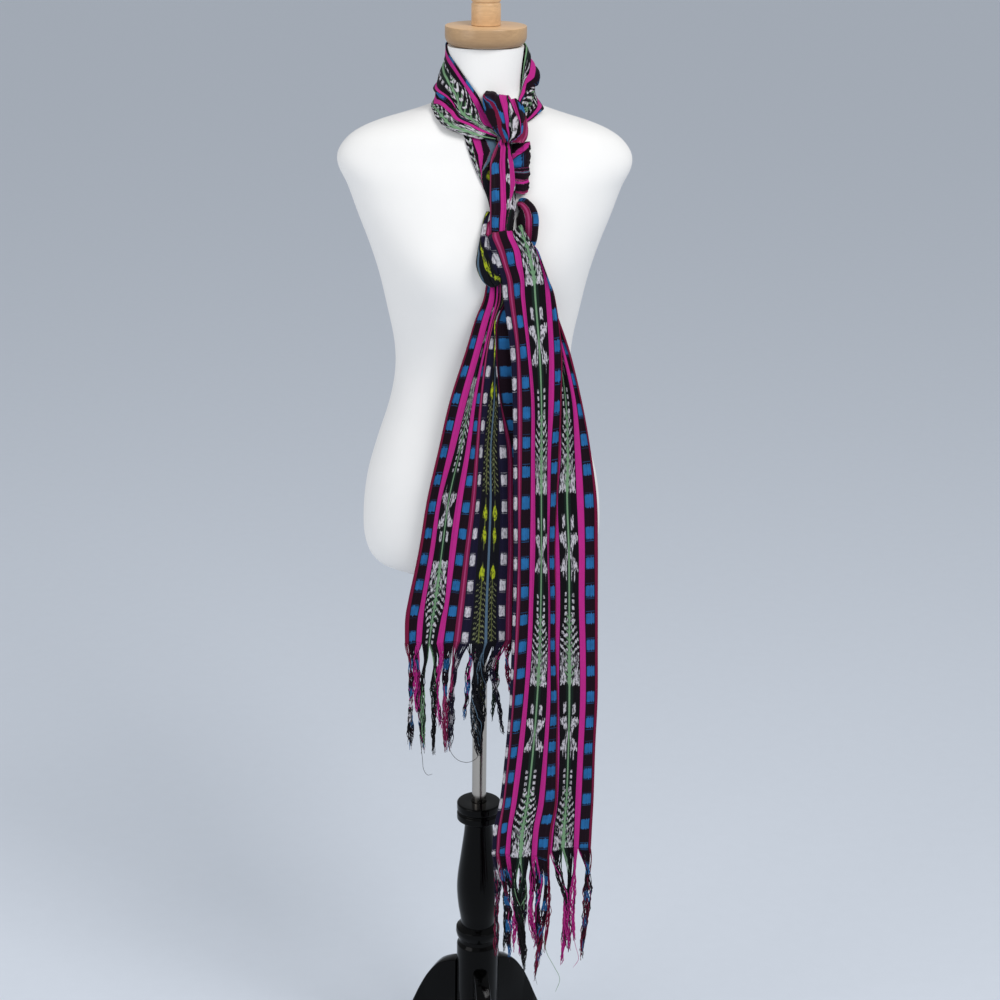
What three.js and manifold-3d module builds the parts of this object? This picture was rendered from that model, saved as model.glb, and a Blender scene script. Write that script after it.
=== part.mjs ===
// A handwoven cotton scarf with fringed ends, wound once round the neck of a limbless dress form,
// crossed and tied in front, its two ends hanging down. The form turns and slides on a pole that
// stands in a turned post with three arched legs.
// Millimetres, +Z up, the form faces -Y. Angles on the form run anticlockwise from +X, in degrees.
import * as THREE from 'three';
import Module from 'manifold-3d';
import { mergeVertices } from 'three/addons/utils/BufferGeometryUtils.js';

const wasm = await Module();
wasm.setup();

// ---------------------------------------------------------------- driving dimensions
const SEAM = 0.35; // gap left between pieces that touch
const CLOTH = 1.6; // thickness of the woven cotton
const SQUARENESS = 2.3; // exponent of the form's superellipse sections
const FORM_SEGMENTS = 28; // facets round the form
const BUST_SWELL = { rise: 9, x: 72, wide: 40, z: 1268, tall: 52 }; // mild fullness in front

const CAP = { radius: 53, height: 25.5, edge: 12, facets: 28 };
const KNOB = { radius: 19, height: 40, groove: 1.2, facets: 16 };
const POLE = { radius: 10.3, bottom: 220, top: 1020, facets: 24 };
const BORE = { radius: 10.8, postFloor: 112 }; // running fit of the pole in the post and the form
const POST = { top: 460, radius: 32, shaft: 31, foot: 62, facets: 20 };
const LEG = { thickness: 22, rounding: 2.5, angles: { front: -82, right: 38, left: 158 } };

const FOLD_GAP = 4; // between the two layers of a tail that is folded lengthwise
const FOLD_FROM = 0.45; // where the fold begins and ends, as a share of the facets across a tail
const FOLD_TO = 0.6;
const STRIP = { height: 4, thickness: 1.8, gap: 0.95 }; // the last woven rows, which hold the fringe
const LOCK = { root: 2.8, tip: 1.4, rings: 3, sides: 3 }; // a twisted lock of loose warp ends

// A leg's board from the post to the toe: matching points of its upper and its lower edge,
// by their distance from the post's axis and their height.
const LEG_ROWS = [
  { topR: POST.shaft + SEAM, topZ: 195, lowR: POST.shaft + SEAM, lowZ: 104 },
  { topR: 45, topZ: 191, lowR: 45, lowZ: 100 },
  { topR: 62, topZ: 181, lowR: 57, lowZ: 94 },
  { topR: 78, topZ: 160, lowR: 69, lowZ: 84 },
  { topR: 91, topZ: 135, lowR: 81, lowZ: 71 },
  { topR: 103, topZ: 107, lowR: 92, lowZ: 56 },
  { topR: 115, topZ: 82, lowR: 104, lowZ: 42 },
  { topR: 131, topZ: 62, lowR: 120, lowZ: 28 },
  { topR: 152, topZ: 48, lowR: 146, lowZ: 17 },
  { topR: 177, topZ: 40, lowR: 176, lowZ: 9 },
  { topR: 201, topZ: 34, lowR: 198, lowZ: 0 },
  { topR: 219, topZ: 25, lowR: 215, lowZ: 0 },
  { topR: 228, topZ: 12, lowR: 224, lowZ: 0 },
];

const FORM_ROWS = [
  // z: height, half: half width, front and back: depths from the pole's axis
  { z: 829, half: 118, front: 64, back: 70 },
  { z: 842, half: 146, front: 86, back: 92 },
  { z: 866, half: 160, front: 100, back: 108 },
  { z: 905, half: 163.5, front: 107, back: 116 },
  { z: 960, half: 158, front: 107, back: 117 },
  { z: 1009, half: 145, front: 102, back: 110 },
  { z: 1066, half: 127, front: 94, back: 95 },
  { z: 1110, half: 119, front: 90.5, back: 84 },
  { z: 1151, half: 119.5, front: 95, back: 81 },
  { z: 1206, half: 130, front: 108, back: 86 },
  { z: 1250, half: 140, front: 117.5, back: 92 },
  { z: 1288, half: 152, front: 118, back: 98 },
  { z: 1330, half: 168, front: 109, back: 100 },
  { z: 1366, half: 181, front: 98, back: 97 },
  { z: 1390, half: 192.5, front: 89, back: 93 },
  { z: 1407, half: 192.5, front: 82, back: 89 },
  { z: 1424, half: 181, front: 76, back: 84 },
  { z: 1436, half: 164, front: 71, back: 80 },
  { z: 1446, half: 140, front: 65, back: 75 },
  { z: 1455, half: 110, front: 59, back: 70 },
  { z: 1464, half: 82, front: 54, back: 65 },
  { z: 1474, half: 60, front: 49, back: 60 },
  { z: 1486, half: 48, front: 45, back: 55 },
  { z: 1502, half: 44, front: 43, back: 51 },
  { z: 1545, half: 43, front: 42, back: 48 },
];
const NECK_TOP = FORM_ROWS.at(-1).z;
const FORM_BOTTOM = FORM_ROWS[0].z;

// The three stretches round the neck. up and low: the upper and lower edge, as an angle and a height
// on the form; upLift and lowLift: how far each edge stands off it; swell: extra stand-off between.
const NECK_LEFT_ROWS = [
  { up: 128, upZ: 1543, low: 128, lowZ: 1482, upLift: 6, lowLift: 2.5, swell: 7 },
  { up: 152, upZ: 1546, low: 160, lowZ: 1477, upLift: 9, lowLift: 3, swell: 11 },
  { up: 176, upZ: 1545, low: 185, lowZ: 1471, upLift: 8, lowLift: 4, swell: 16 },
  { up: 199, upZ: 1536, low: 205, lowZ: 1467, upLift: 3, lowLift: 4, swell: 17 },
  { up: 219, upZ: 1526, low: 225, lowZ: 1462, upLift: 2.4, lowLift: 4, swell: 12 },
  { up: 238, upZ: 1511, low: 243, lowZ: 1453, upLift: 2.4, lowLift: 6, swell: 7 },
  { up: 253, upZ: 1497, low: 255, lowZ: 1443, upLift: 2.6, lowLift: 8.5, swell: 6 },
  { up: 264, upZ: 1484, low: 263, lowZ: 1438, upLift: 3, lowLift: 8.5, swell: 4 },
  { up: 271, upZ: 1466, low: 269, lowZ: 1434, upLift: 4, lowLift: 8.5, swell: 2.5 },
  { up: 275.5, upZ: 1449, low: 273, lowZ: 1433, upLift: 6, lowLift: 8.5, swell: 1.5 },
];
const NECK_RIGHT_ROWS = [
  { up: 40, upZ: 1543, low: 44, lowZ: 1482, upLift: 6, lowLift: 2.5, swell: 7 },
  { up: 24, upZ: 1546, low: 26, lowZ: 1477, upLift: 9, lowLift: 4, swell: 12 },
  { up: 8, upZ: 1542, low: 8, lowZ: 1471, upLift: 10, lowLift: 5, swell: 17 },
  { up: -3, upZ: 1528, low: -12, lowZ: 1468, upLift: 7, lowLift: 5, swell: 18 },
  { up: -8, upZ: 1512, low: -28, lowZ: 1464, upLift: 4, lowLift: 5, swell: 15 },
  { up: -17, upZ: 1495, low: -40, lowZ: 1462, upLift: 3, lowLift: 5, swell: 11 },
  { up: -37, upZ: 1483, low: -52, lowZ: 1459, upLift: 3, lowLift: 4, swell: 6 },
  { up: -56, upZ: 1473, low: -63, lowZ: 1455, upLift: 3, lowLift: 3, swell: 2.5 },
  { up: -72, upZ: 1463, low: -75, lowZ: 1450, upLift: 3, lowLift: 3, swell: 1 },
];
const NECK_BACK_ROWS = [
  { up: 127.3, upZ: 1543, low: 127.3, lowZ: 1482, upLift: 6, lowLift: 2.5, swell: 7 },
  { up: 105, upZ: 1542, low: 105, lowZ: 1486, upLift: 3, lowLift: 1.8, swell: 5 },
  { up: 84, upZ: 1542, low: 84, lowZ: 1487, upLift: 3, lowLift: 1.8, swell: 5 },
  { up: 62, upZ: 1542, low: 64, lowZ: 1485, upLift: 3, lowLift: 1.8, swell: 5 },
  { up: 40.7, upZ: 1543, low: 44.7, lowZ: 1482, upLift: 6, lowLift: 2.5, swell: 7 },
];

// The gathered stretches of the knots, along their middles. x, z: where the middle lies, lift: how far
// its crown stands in front of the form, width and depth: of its arched section, face and rise: how
// far that section turns to the side and up, in degrees.
const UNDER_ROWS = [
  { x: -12, z: 1451, lift: 5.2, width: 34, depth: 3.5, face: 0, rise: 0 },
  { x: -2, z: 1431, lift: 6.5, width: 36, depth: 5, face: 0, rise: 0 },
  { x: 8, z: 1411, lift: 8, width: 34, depth: 6, face: 0, rise: 0 },
  { x: 15, z: 1392, lift: 8.5, width: 30, depth: 6.5, face: 0, rise: 0 },
  { x: 18, z: 1372, lift: 8.5, width: 27, depth: 6.5, face: 0, rise: 0 },
  { x: 20, z: 1354, lift: 7.5, width: 24, depth: 5.5, face: 0, rise: 0 },
];
const THROW_ROWS = [
  { x: 25, z: 1485, lift: 6, width: 42, depth: 4, face: 0, rise: 72 },
  { x: 25, z: 1490, lift: 14, width: 50, depth: 7, face: 0, rise: 48 },
  { x: 26, z: 1486, lift: 24, width: 54, depth: 11, face: 0, rise: 16 },
  { x: 30, z: 1473, lift: 30, width: 52, depth: 15, face: 0, rise: 4 },
  { x: 34, z: 1457, lift: 31, width: 44, depth: 13, face: 0, rise: 0 },
  { x: 37, z: 1446, lift: 30, width: 34, depth: 10, face: 0, rise: 0 },
  { x: 36, z: 1437, lift: 28, width: 26, depth: 5, face: 0, rise: 0 },
];
const CORE_ROWS = [
  { x: 30, z: 1446, lift: 16.3, width: 14, depth: 4, face: 0, rise: 0 },
  { x: 26, z: 1436, lift: 19.3, width: 17, depth: 6.5, face: 0, rise: 0 },
  { x: 23, z: 1424, lift: 22, width: 24, depth: 9, face: 0, rise: 0 },
  { x: 22, z: 1412, lift: 23, width: 29, depth: 10, face: 0, rise: 0 },
  { x: 23, z: 1394, lift: 24, width: 31, depth: 11, face: 0, rise: 0 },
  { x: 23.5, z: 1376, lift: 24, width: 32, depth: 11, face: 0, rise: 0 },
  { x: 24, z: 1358, lift: 24, width: 32, depth: 11, face: 0, rise: 0 },
  { x: 23, z: 1345, lift: 24, width: 30, depth: 10, face: 0, rise: 0 },
  { x: 22, z: 1334.4, lift: 24, width: 26, depth: 8, face: 0, rise: 0 },
];
const WRAP_ROWS = [
  { x: 34, z: 1404, lift: 9, width: 60, depth: 2, face: 0, rise: 0 },
  { x: 41, z: 1404, lift: 10.5, width: 64, depth: 3, face: 8, rise: 0 },
  { x: 50, z: 1404, lift: 12.5, width: 66, depth: 4, face: 28, rise: 0 },
  { x: 56, z: 1404, lift: 8.5, width: 65, depth: 4, face: 60, rise: 0 },
  { x: 57.5, z: 1404, lift: 3, width: 63, depth: 3, face: 90, rise: 0 },
];
const LOOP_ROWS = [
  { x: 42, z: 1361, lift: 9, width: 14, depth: 7, face: 0, rise: 0 },
  { x: 48, z: 1361, lift: 15, width: 20, depth: 13, face: 0, rise: 0 },
  { x: 54, z: 1355, lift: 18, width: 25, depth: 16.8, face: 0, rise: 0 },
  { x: 57, z: 1346, lift: 19, width: 27, depth: 17.9, face: 0, rise: 0 },
  { x: 57.5, z: 1334, lift: 19, width: 26, depth: 17.8, face: 0, rise: 0 },
  { x: 57, z: 1320, lift: 16, width: 23, depth: 14, face: 0, rise: 0 },
  { x: 54, z: 1306, lift: 12, width: 18, depth: 10, face: 0, rise: 0 },
];
const BULB_ROWS = [
  { x: 14, z: 1350, lift: 8.5, width: 22, depth: 5, face: 0, rise: 0 },
  { x: 12, z: 1338, lift: 10.5, width: 27, depth: 7, face: 0, rise: 0 },
  { x: 11, z: 1322, lift: 18, width: 32, depth: 14, face: 0, rise: 0 },
  { x: 9.5, z: 1304, lift: 23, width: 36, depth: 19, face: 0, rise: 0 },
  { x: 9.5, z: 1287, lift: 24, width: 39, depth: 18, face: 0, rise: 0 },
  { x: 13, z: 1271, lift: 20, width: 34, depth: 11, face: 0, rise: 0 },
  { x: 18, z: 1260, lift: 15, width: 22, depth: 6, face: 0, rise: 0 },
];

// The two tails, folded lengthwise. edge: x of the front layer's selvage, fold: x of the fold,
// under: x of the back layer's selvage, y: of the fold, lean: how much nearer the form the far side is.
const TAIL_FRONT_ROWS = [
  { z: 1330.9, edge: 51, fold: 10, under: 46, y: -131, lean: 2 },
  { z: 1324, edge: 56, fold: 13, under: 51, y: -138, lean: 3 },
  { z: 1309, edge: 66, fold: 20, under: 60, y: -140, lean: 5 },
  { z: 1283, edge: 76, fold: 28, under: 70, y: -138, lean: 6 },
  { z: 1257, edge: 84, fold: 34, under: 79, y: -136, lean: 5 },
  { z: 1230, edge: 92, fold: 33, under: 88, y: -134, lean: 3 },
  { z: 1189, edge: 101, fold: 36, under: 105, y: -133, lean: 1 },
  { z: 1128, edge: 105, fold: 42, under: 124, y: -132, lean: 0 },
  { z: 1067, edge: 104, fold: 48, under: 136, y: -132, lean: 0 },
  { z: 997, edge: 104, fold: 47, under: 149, y: -132, lean: 0 },
  { z: 885, edge: 105, fold: 47, under: 155, y: -132, lean: 0 },
  { z: 769, edge: 106, fold: 48, under: 159, y: -132, lean: 0 },
  { z: 680, edge: 107, fold: 48, under: 163, y: -132, lean: 0 },
  { z: 590, edge: 108, fold: 36, under: 160, y: -132, lean: 0 },
  { z: 513, edge: 107, fold: 30, under: 160, y: -132, lean: 0 },
  { z: 436, edge: 104, fold: 25, under: 156, y: -132, lean: 0 },
];
const TAIL_BACK_ROWS = [
  { z: 1276, edge: 4, fold: 27, under: 10, y: -122.4, lean: 0 },
  { z: 1258, edge: 3, fold: 32, under: 12, y: -123, lean: 0 },
  { z: 1231, edge: -4, fold: 38, under: 14, y: -123, lean: 0 },
  { z: 1198, edge: -15, fold: 42, under: 12, y: -121, lean: 0 },
  { z: 1158, edge: -27, fold: 44, under: 6, y: -119, lean: 0 },
  { z: 1117, edge: -40, fold: 46, under: -2, y: -118, lean: 0 },
  { z: 1076, edge: -50, fold: 47, under: -8, y: -118, lean: 0 },
  { z: 1000, edge: -67, fold: 48, under: -16, y: -118, lean: 0 },
  { z: 923, edge: -78, fold: 49, under: -20, y: -118, lean: 0 },
  { z: 837, edge: -87, fold: 50, under: -24, y: -118, lean: 0 },
  { z: 793, edge: -101, fold: 50, under: -26, y: -118, lean: 0 },
  { z: 744, edge: -97, fold: 50, under: -27, y: -118, lean: 0 },
];

// ---------------------------------------------------------------- small helpers
const radians = THREE.MathUtils.degToRad;
const mix = THREE.MathUtils.lerp;

// A column of a table, smoothly between its rows. at is a row number, or a value of the key column.
function smooth(rows, column, at, key) {
  const place = (i) => (key ? rows[i][key] : i);
  const last = rows.length - 1;
  const x = THREE.MathUtils.clamp(at, place(0), place(last));
  let i = 0;
  while (i < last - 1 && x > place(i + 1)) i += 1;
  const slope = (k) => {
    const low = Math.max(k - 1, 0);
    const high = Math.min(k + 1, last);
    return (rows[high][column] - rows[low][column]) / (place(high) - place(low));
  };
  const step = place(i + 1) - place(i);
  const t = (x - place(i)) / step;
  const t2 = t * t;
  const t3 = t2 * t;
  return (2 * t3 - 3 * t2 + 1) * rows[i][column] + (t3 - 2 * t2 + t) * step * slope(i)
    + (3 * t2 - 2 * t3) * rows[i + 1][column] + (t3 - t2) * step * slope(i + 1);
}

// A closed body from points and triangles, turned outwards whichever way its faces were wound.
function closedBody(points, triangles) {
  let volume = 0;
  for (const [a, b, c] of triangles) {
    volume += points[a].dot(new THREE.Vector3().crossVectors(points[b], points[c]));
  }
  const wound = volume > 0 ? triangles : triangles.map(([a, b, c]) => [a, c, b]);
  const geometry = new THREE.BufferGeometry();
  geometry.setAttribute('position', new THREE.Float32BufferAttribute(points.flatMap((p) => p.toArray()), 3));
  geometry.setIndex(wound.flat());
  return geometry;
}

// A body through closed rings of equal count, each end closed by a fan round its middle.
function ringBody(rings) {
  const count = rings[0].length;
  const points = rings.flat();
  const triangles = [];
  for (let r = 0; r < rings.length - 1; r += 1) {
    for (let i = 0; i < count; i += 1) {
      const j = (i + 1) % count;
      const a = r * count;
      const b = a + count;
      triangles.push([a + i, a + j, b + j], [a + i, b + j, b + i]);
    }
  }
  for (const [r, forward] of [[0, false], [rings.length - 1, true]]) {
    const middle = points.push(rings[r].reduce((sum, p) => sum.add(p), new THREE.Vector3())
      .divideScalar(count)) - 1;
    for (let i = 0; i < count; i += 1) {
      const a = r * count + i;
      const b = r * count + ((i + 1) % count);
      triangles.push(forward ? [a, b, middle] : [b, a, middle]);
    }
  }
  return closedBody(points, triangles);
}

// A wall of cloth about a middle surface: point(s, t) with s across the cloth and t along it.
function clothWall(point, across, along, thickness = CLOTH) {
  const middle = [];
  for (let j = 0; j <= along; j += 1) {
    for (let i = 0; i <= across; i += 1) middle.push(point(i / across, j / along));
  }
  const at = (i, j) => middle[j * (across + 1) + i];
  const points = [];
  for (const side of [1, -1]) {
    for (let j = 0; j <= along; j += 1) {
      for (let i = 0; i <= across; i += 1) {
        const acrossStep = at(Math.min(i + 1, across), j).clone().sub(at(Math.max(i - 1, 0), j));
        const alongStep = at(i, Math.min(j + 1, along)).clone().sub(at(i, Math.max(j - 1, 0)));
        const normal = acrossStep.cross(alongStep).normalize();
        points.push(at(i, j).clone().addScaledVector(normal, side * thickness / 2));
      }
    }
  }
  const side = middle.length;
  const id = (i, j, layer) => layer * side + j * (across + 1) + i;
  const triangles = [];
  for (let j = 0; j < along; j += 1) {
    for (let i = 0; i < across; i += 1) {
      for (const layer of [0, 1]) {
        const quad = [id(i, j, layer), id(i + 1, j, layer), id(i + 1, j + 1, layer), id(i, j + 1, layer)];
        if (layer === 1) quad.reverse();
        triangles.push([quad[0], quad[1], quad[2]], [quad[0], quad[2], quad[3]]);
      }
    }
  }
  const rim = [];
  for (let i = 0; i <= across; i += 1) rim.push([i, 0]);
  for (let j = 1; j <= along; j += 1) rim.push([across, j]);
  for (let i = across - 1; i >= 0; i -= 1) rim.push([i, along]);
  for (let j = along - 1; j >= 1; j -= 1) rim.push([0, j]);
  rim.forEach(([i, j], k) => {
    const [m, n] = rim[(k + 1) % rim.length];
    triangles.push([id(i, j, 0), id(i, j, 1), id(m, n, 1)], [id(i, j, 0), id(m, n, 1), id(m, n, 0)]);
  });
  return closedBody(points, triangles);
}

// Joins closed bodies that run into each other into one.
function joined(geometries) {
  let whole = null;
  for (const geometry of geometries) {
    const bare = geometry.clone();
    bare.deleteAttribute('normal');
    bare.deleteAttribute('uv');
    const merged = mergeVertices(bare, 1e-4);
    const solid = new wasm.Manifold(new wasm.Mesh({
      numProp: 3,
      vertProperties: new Float32Array(merged.attributes.position.array),
      triVerts: new Uint32Array(merged.index.array),
    }));
    whole = whole ? whole.add(solid) : solid;
  }
  const mesh = whole.getMesh();
  const geometry = new THREE.BufferGeometry();
  geometry.setAttribute('position', new THREE.BufferAttribute(mesh.vertProperties, 3));
  geometry.setIndex(new THREE.BufferAttribute(mesh.triVerts, 1));
  return geometry;
}

// ---------------------------------------------------------------- the dress form's surface
function bustSwell(x, z) {
  const { rise, wide, tall } = BUST_SWELL;
  return rise * Math.exp(-(((Math.abs(x) - BUST_SWELL.x) / wide) ** 2) - ((z - BUST_SWELL.z) / tall) ** 2);
}

function formPoint(degrees, z) {
  const c = Math.cos(radians(degrees));
  const s = Math.sin(radians(degrees));
  const power = 2 / SQUARENESS;
  const x = Math.sign(c) * smooth(FORM_ROWS, 'half', z, 'z') * Math.abs(c) ** power;
  const depth = smooth(FORM_ROWS, s < 0 ? 'front' : 'back', z, 'z');
  const y = Math.sign(s) * depth * Math.abs(s) ** power - (s < 0 ? bustSwell(x, z) : 0);
  return new THREE.Vector3(x, y, z);
}

function formNormal(degrees, z) {
  const round = formPoint(degrees + 0.2, z).sub(formPoint(degrees - 0.2, z));
  const up = formPoint(degrees, z + 1).sub(formPoint(degrees, z - 1));
  return round.cross(up).normalize();
}

// y of the form's front at x and z
function frontOfForm(x, z) {
  const share = Math.min(Math.abs(x) / smooth(FORM_ROWS, 'half', z, 'z'), 1) ** SQUARENESS;
  return -smooth(FORM_ROWS, 'front', z, 'z') * (1 - share) ** (1 / SQUARENESS) - bustSwell(x, z);
}

// how fast that y changes with height
function frontSlope(x, z) {
  return (frontOfForm(x, z + 15) - frontOfForm(x, z - 15)) / 30;
}

function frontNormal(x, z) {
  const slopeX = (frontOfForm(x + 1, z) - frontOfForm(x - 1, z)) / 2;
  const slopeZ = (frontOfForm(x, z + 1) - frontOfForm(x, z - 1)) / 2;
  return new THREE.Vector3(slopeX, -1, slopeZ).normalize();
}

// ---------------------------------------------------------------- the dress form and its stand
function torso() {
  const circle = (radius, z) => Array.from({ length: FORM_SEGMENTS }, (_, i) => {
    const angle = 2 * Math.PI * i / FORM_SEGMENTS;
    return new THREE.Vector3(radius * Math.cos(angle), radius * Math.sin(angle), z);
  });
  const section = (z) => Array.from({ length: FORM_SEGMENTS }, (_, i) => formPoint(360 * i / FORM_SEGMENTS, z));
  const flatEdge = section(FORM_BOTTOM).map((p) => p.multiply(new THREE.Vector3(0.8, 0.8, 1)).setZ(FORM_BOTTOM - 3));
  return ringBody([
    circle(BORE.radius, POLE.top + SEAM),
    circle(BORE.radius, FORM_BOTTOM - 3),
    flatEdge,
    ...FORM_ROWS.map((row) => section(row.z)),
  ]);
}

function neckCap() {
  const { radius, height, edge } = CAP;
  const bottom = NECK_TOP + SEAM;
  const profile = [new THREE.Vector2(0, bottom), new THREE.Vector2(radius - edge, bottom)];
  for (const turn of [30, 60, 90]) {
    profile.push(new THREE.Vector2(radius - edge + edge * Math.sin(radians(turn)),
      bottom + edge - edge * Math.cos(radians(turn))));
  }
  profile.push(new THREE.Vector2(radius, bottom + height - 2), new THREE.Vector2(radius - 2, bottom + height));
  profile.push(new THREE.Vector2(0, bottom + height));
  return new THREE.LatheGeometry(profile, CAP.facets).rotateX(Math.PI / 2);
}

function capKnob() {
  const { radius, height, groove } = KNOB;
  const base = NECK_TOP + CAP.height + 2 * SEAM;
  const outline = [
    [0, 0], [radius, 0], [radius, 0.68 * height], [radius - groove, 0.7 * height],
    [radius - groove, 0.74 * height], [radius, 0.76 * height], [radius, 0.88 * height],
    [0.9 * radius, 0.96 * height], [0.7 * radius, height], [0, height],
  ];
  return new THREE.LatheGeometry(outline.map(([r, z]) => new THREE.Vector2(r, base + z)), KNOB.facets)
    .rotateX(Math.PI / 2);
}

function pole() {
  const geometry = new THREE.CylinderGeometry(POLE.radius, POLE.radius, POLE.top - POLE.bottom, POLE.facets);
  return geometry.rotateX(Math.PI / 2).translate(0, 0, (POLE.top + POLE.bottom) / 2);
}

function post() {
  const { top, radius, shaft, foot } = POST;
  const outline = [
    [0, BORE.postFloor], [BORE.radius, BORE.postFloor], [BORE.radius, top], // the bore
    [radius - 1.5, top], [radius, top - 1.5], [radius, top - 11], [radius - 3, top - 14],
    [radius, top - 17], [radius, top - 26], [radius - 4, top - 29], // collar with its groove
    [20, top - 31], [21.5, top - 50], [26, top - 85], [30.5, top - 120], [31.5, top - 142],
    [29.5, top - 168], [26, top - 190], [24.5, top - 203], // vase
    [radius, top - 205], [radius + 0.5, top - 212], [radius - 1, top - 219], // bead under the vase
    [27, top - 222], [27.5, top - 228], [shaft, top - 233], [shaft, foot + 3], [shaft - 3, foot], [0, foot],
  ];
  const profile = outline.reverse().map(([r, z]) => new THREE.Vector2(r, z));
  return new THREE.LatheGeometry(profile, POST.facets).rotateX(Math.PI / 2);
}

// An arched board with eased edges, standing out from the post's foot.
function leg(degrees) {
  const half = LEG.thickness / 2;
  const ease = LEG.rounding;
  const turn = radians(degrees);
  const place = (r, across, z) => new THREE.Vector3(
    r * Math.cos(turn) - across * Math.sin(turn),
    r * Math.sin(turn) + across * Math.cos(turn),
    z,
  );
  return ringBody(LEG_ROWS.map(({ topR, topZ, lowR, lowZ }) => {
    const inward = new THREE.Vector2(lowR - topR, lowZ - topZ).setLength(ease);
    return [
      place(topR, half - ease, topZ), place(topR, ease - half, topZ),
      place(topR + inward.x, -half, topZ + inward.y), place(lowR - inward.x, -half, lowZ - inward.y),
      place(lowR, ease - half, lowZ), place(lowR, half - ease, lowZ),
      place(lowR - inward.x, half, lowZ - inward.y), place(topR + inward.x, half, topZ + inward.y),
    ];
  }));
}

// ---------------------------------------------------------------- the scarf
// A pleated stretch round the neck. Pleats run along it and die out at its edges. A skew over 1 puts
// its fullest part nearer the lower edge.
function neckStretch(rows, { pleats, pleatDepth, skew }, across, along) {
  return clothWall((s, t) => {
    const at = (column) => smooth(rows, column, t * (rows.length - 1));
    const angle = mix(at('up'), at('low'), s);
    const z = mix(at('upZ'), at('lowZ'), s);
    const arch = Math.sin(Math.PI * s ** skew);
    const ripple = Math.min(at('swell') / 8, 1) * pleatDepth * Math.sin(2 * Math.PI * pleats * s) * arch;
    const lift = mix(at('upLift'), at('lowLift'), s) + at('swell') * arch + ripple;
    const out = formNormal(angle, z);
    out.z *= s ** 3;
    return formPoint(angle, z).addScaledVector(out.normalize(), lift);
  }, across, along);
}

// A gathered stretch with an arched section, its edges turned back to the form. lay: the section's
// width lies square to the stretch, 'level' or 'upright' on the chest. bias: how far its crown sits to
// one side, as a share of the width.
function gatheredStretch(rows, { pleats, pleatDepth, lay = 'square', bias = 0 }, across, along) {
  const last = rows.length - 1;
  const crown = (t) => {
    const at = (column) => smooth(rows, column, t * last);
    return new THREE.Vector3(at('x'), frontOfForm(at('x'), at('z')) - at('lift'), at('z'));
  };
  return clothWall((s, t) => {
    const at = (column) => smooth(rows, column, t * last);
    const step = 0.02;
    const tangent = crown(Math.min(t + step, 1)).sub(crown(Math.max(t - step, 0))).normalize();
    const out = frontNormal(at('x'), at('z')).multiplyScalar(Math.cos(radians(at('face'))));
    out.x += Math.sin(radians(at('face')));
    out.z += Math.tan(radians(at('rise')));
    out.addScaledVector(tangent, -out.dot(tangent)).normalize();
    const side = {
      square: new THREE.Vector3().crossVectors(tangent, out),
      level: new THREE.Vector3(1, 0, 0),
      upright: new THREE.Vector3(0, -frontSlope(at('x'), at('z')), -1),
    }[lay];
    side.addScaledVector(out, -out.dot(side)).normalize();
    const turn = (2 * s - 1) * Math.PI / 2;
    const ripple = pleatDepth * (Math.cos(2 * Math.PI * pleats * s) - 1) / 2 * Math.cos(turn);
    return crown(t)
      .addScaledVector(side, (Math.sin(turn) / 2 + bias * Math.cos(turn) ** 2) * at('width'))
      .addScaledVector(out, (Math.cos(turn) - 1) * at('depth') + ripple);
  }, across, along);
}

// The section of a tail folded lengthwise: from its front selvage to the fold and back underneath.
function foldedSection(row, s, wave) {
  const outward = Math.sign(row.fold - row.edge);
  const radius = FOLD_GAP / 2;
  let x;
  let depth;
  if (s < FOLD_FROM) {
    x = mix(row.edge, row.fold, s / FOLD_FROM);
    depth = -radius;
  } else if (s < FOLD_TO) {
    const turn = Math.PI * (s - FOLD_FROM) / (FOLD_TO - FOLD_FROM);
    x = row.fold + outward * radius * Math.sin(turn);
    depth = -radius * Math.cos(turn);
  } else {
    x = mix(row.fold, row.under, (s - FOLD_TO) / (1 - FOLD_TO));
    depth = radius;
  }
  const share = (x - row.fold) / (row.under - row.fold);
  return new THREE.Vector3(x, row.y + depth + row.lean * Math.max(share, 0) + wave(x, row.z), row.z);
}

function tailPoint(rows, endRise, wave) {
  const last = rows.length - 1;
  return (s, t) => {
    const at = t * last;
    const row = {};
    for (const column of Object.keys(rows[0])) row[column] = smooth(rows, column, at);
    const point = foldedSection(row, s, wave);
    point.z += endRise * s * Math.max(0, t * last - last + 1) ** 2;
    return point;
  };
}

// Long soft waves that run down a tail and grow towards its end.
const tailWave = (height, spacing, phase) => (x, z) => {
  const slack = THREE.MathUtils.smoothstep(1300 - z, 0, 260);
  return height * slack * Math.sin(2 * Math.PI * (x / spacing + phase) + z / 190);
};
const frontTail = tailPoint(TAIL_FRONT_ROWS, 18, tailWave(2.2, 44, 0.1));
const backTail = tailPoint(TAIL_BACK_ROWS, 6, tailWave(2.0, 50, 0.35));

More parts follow.
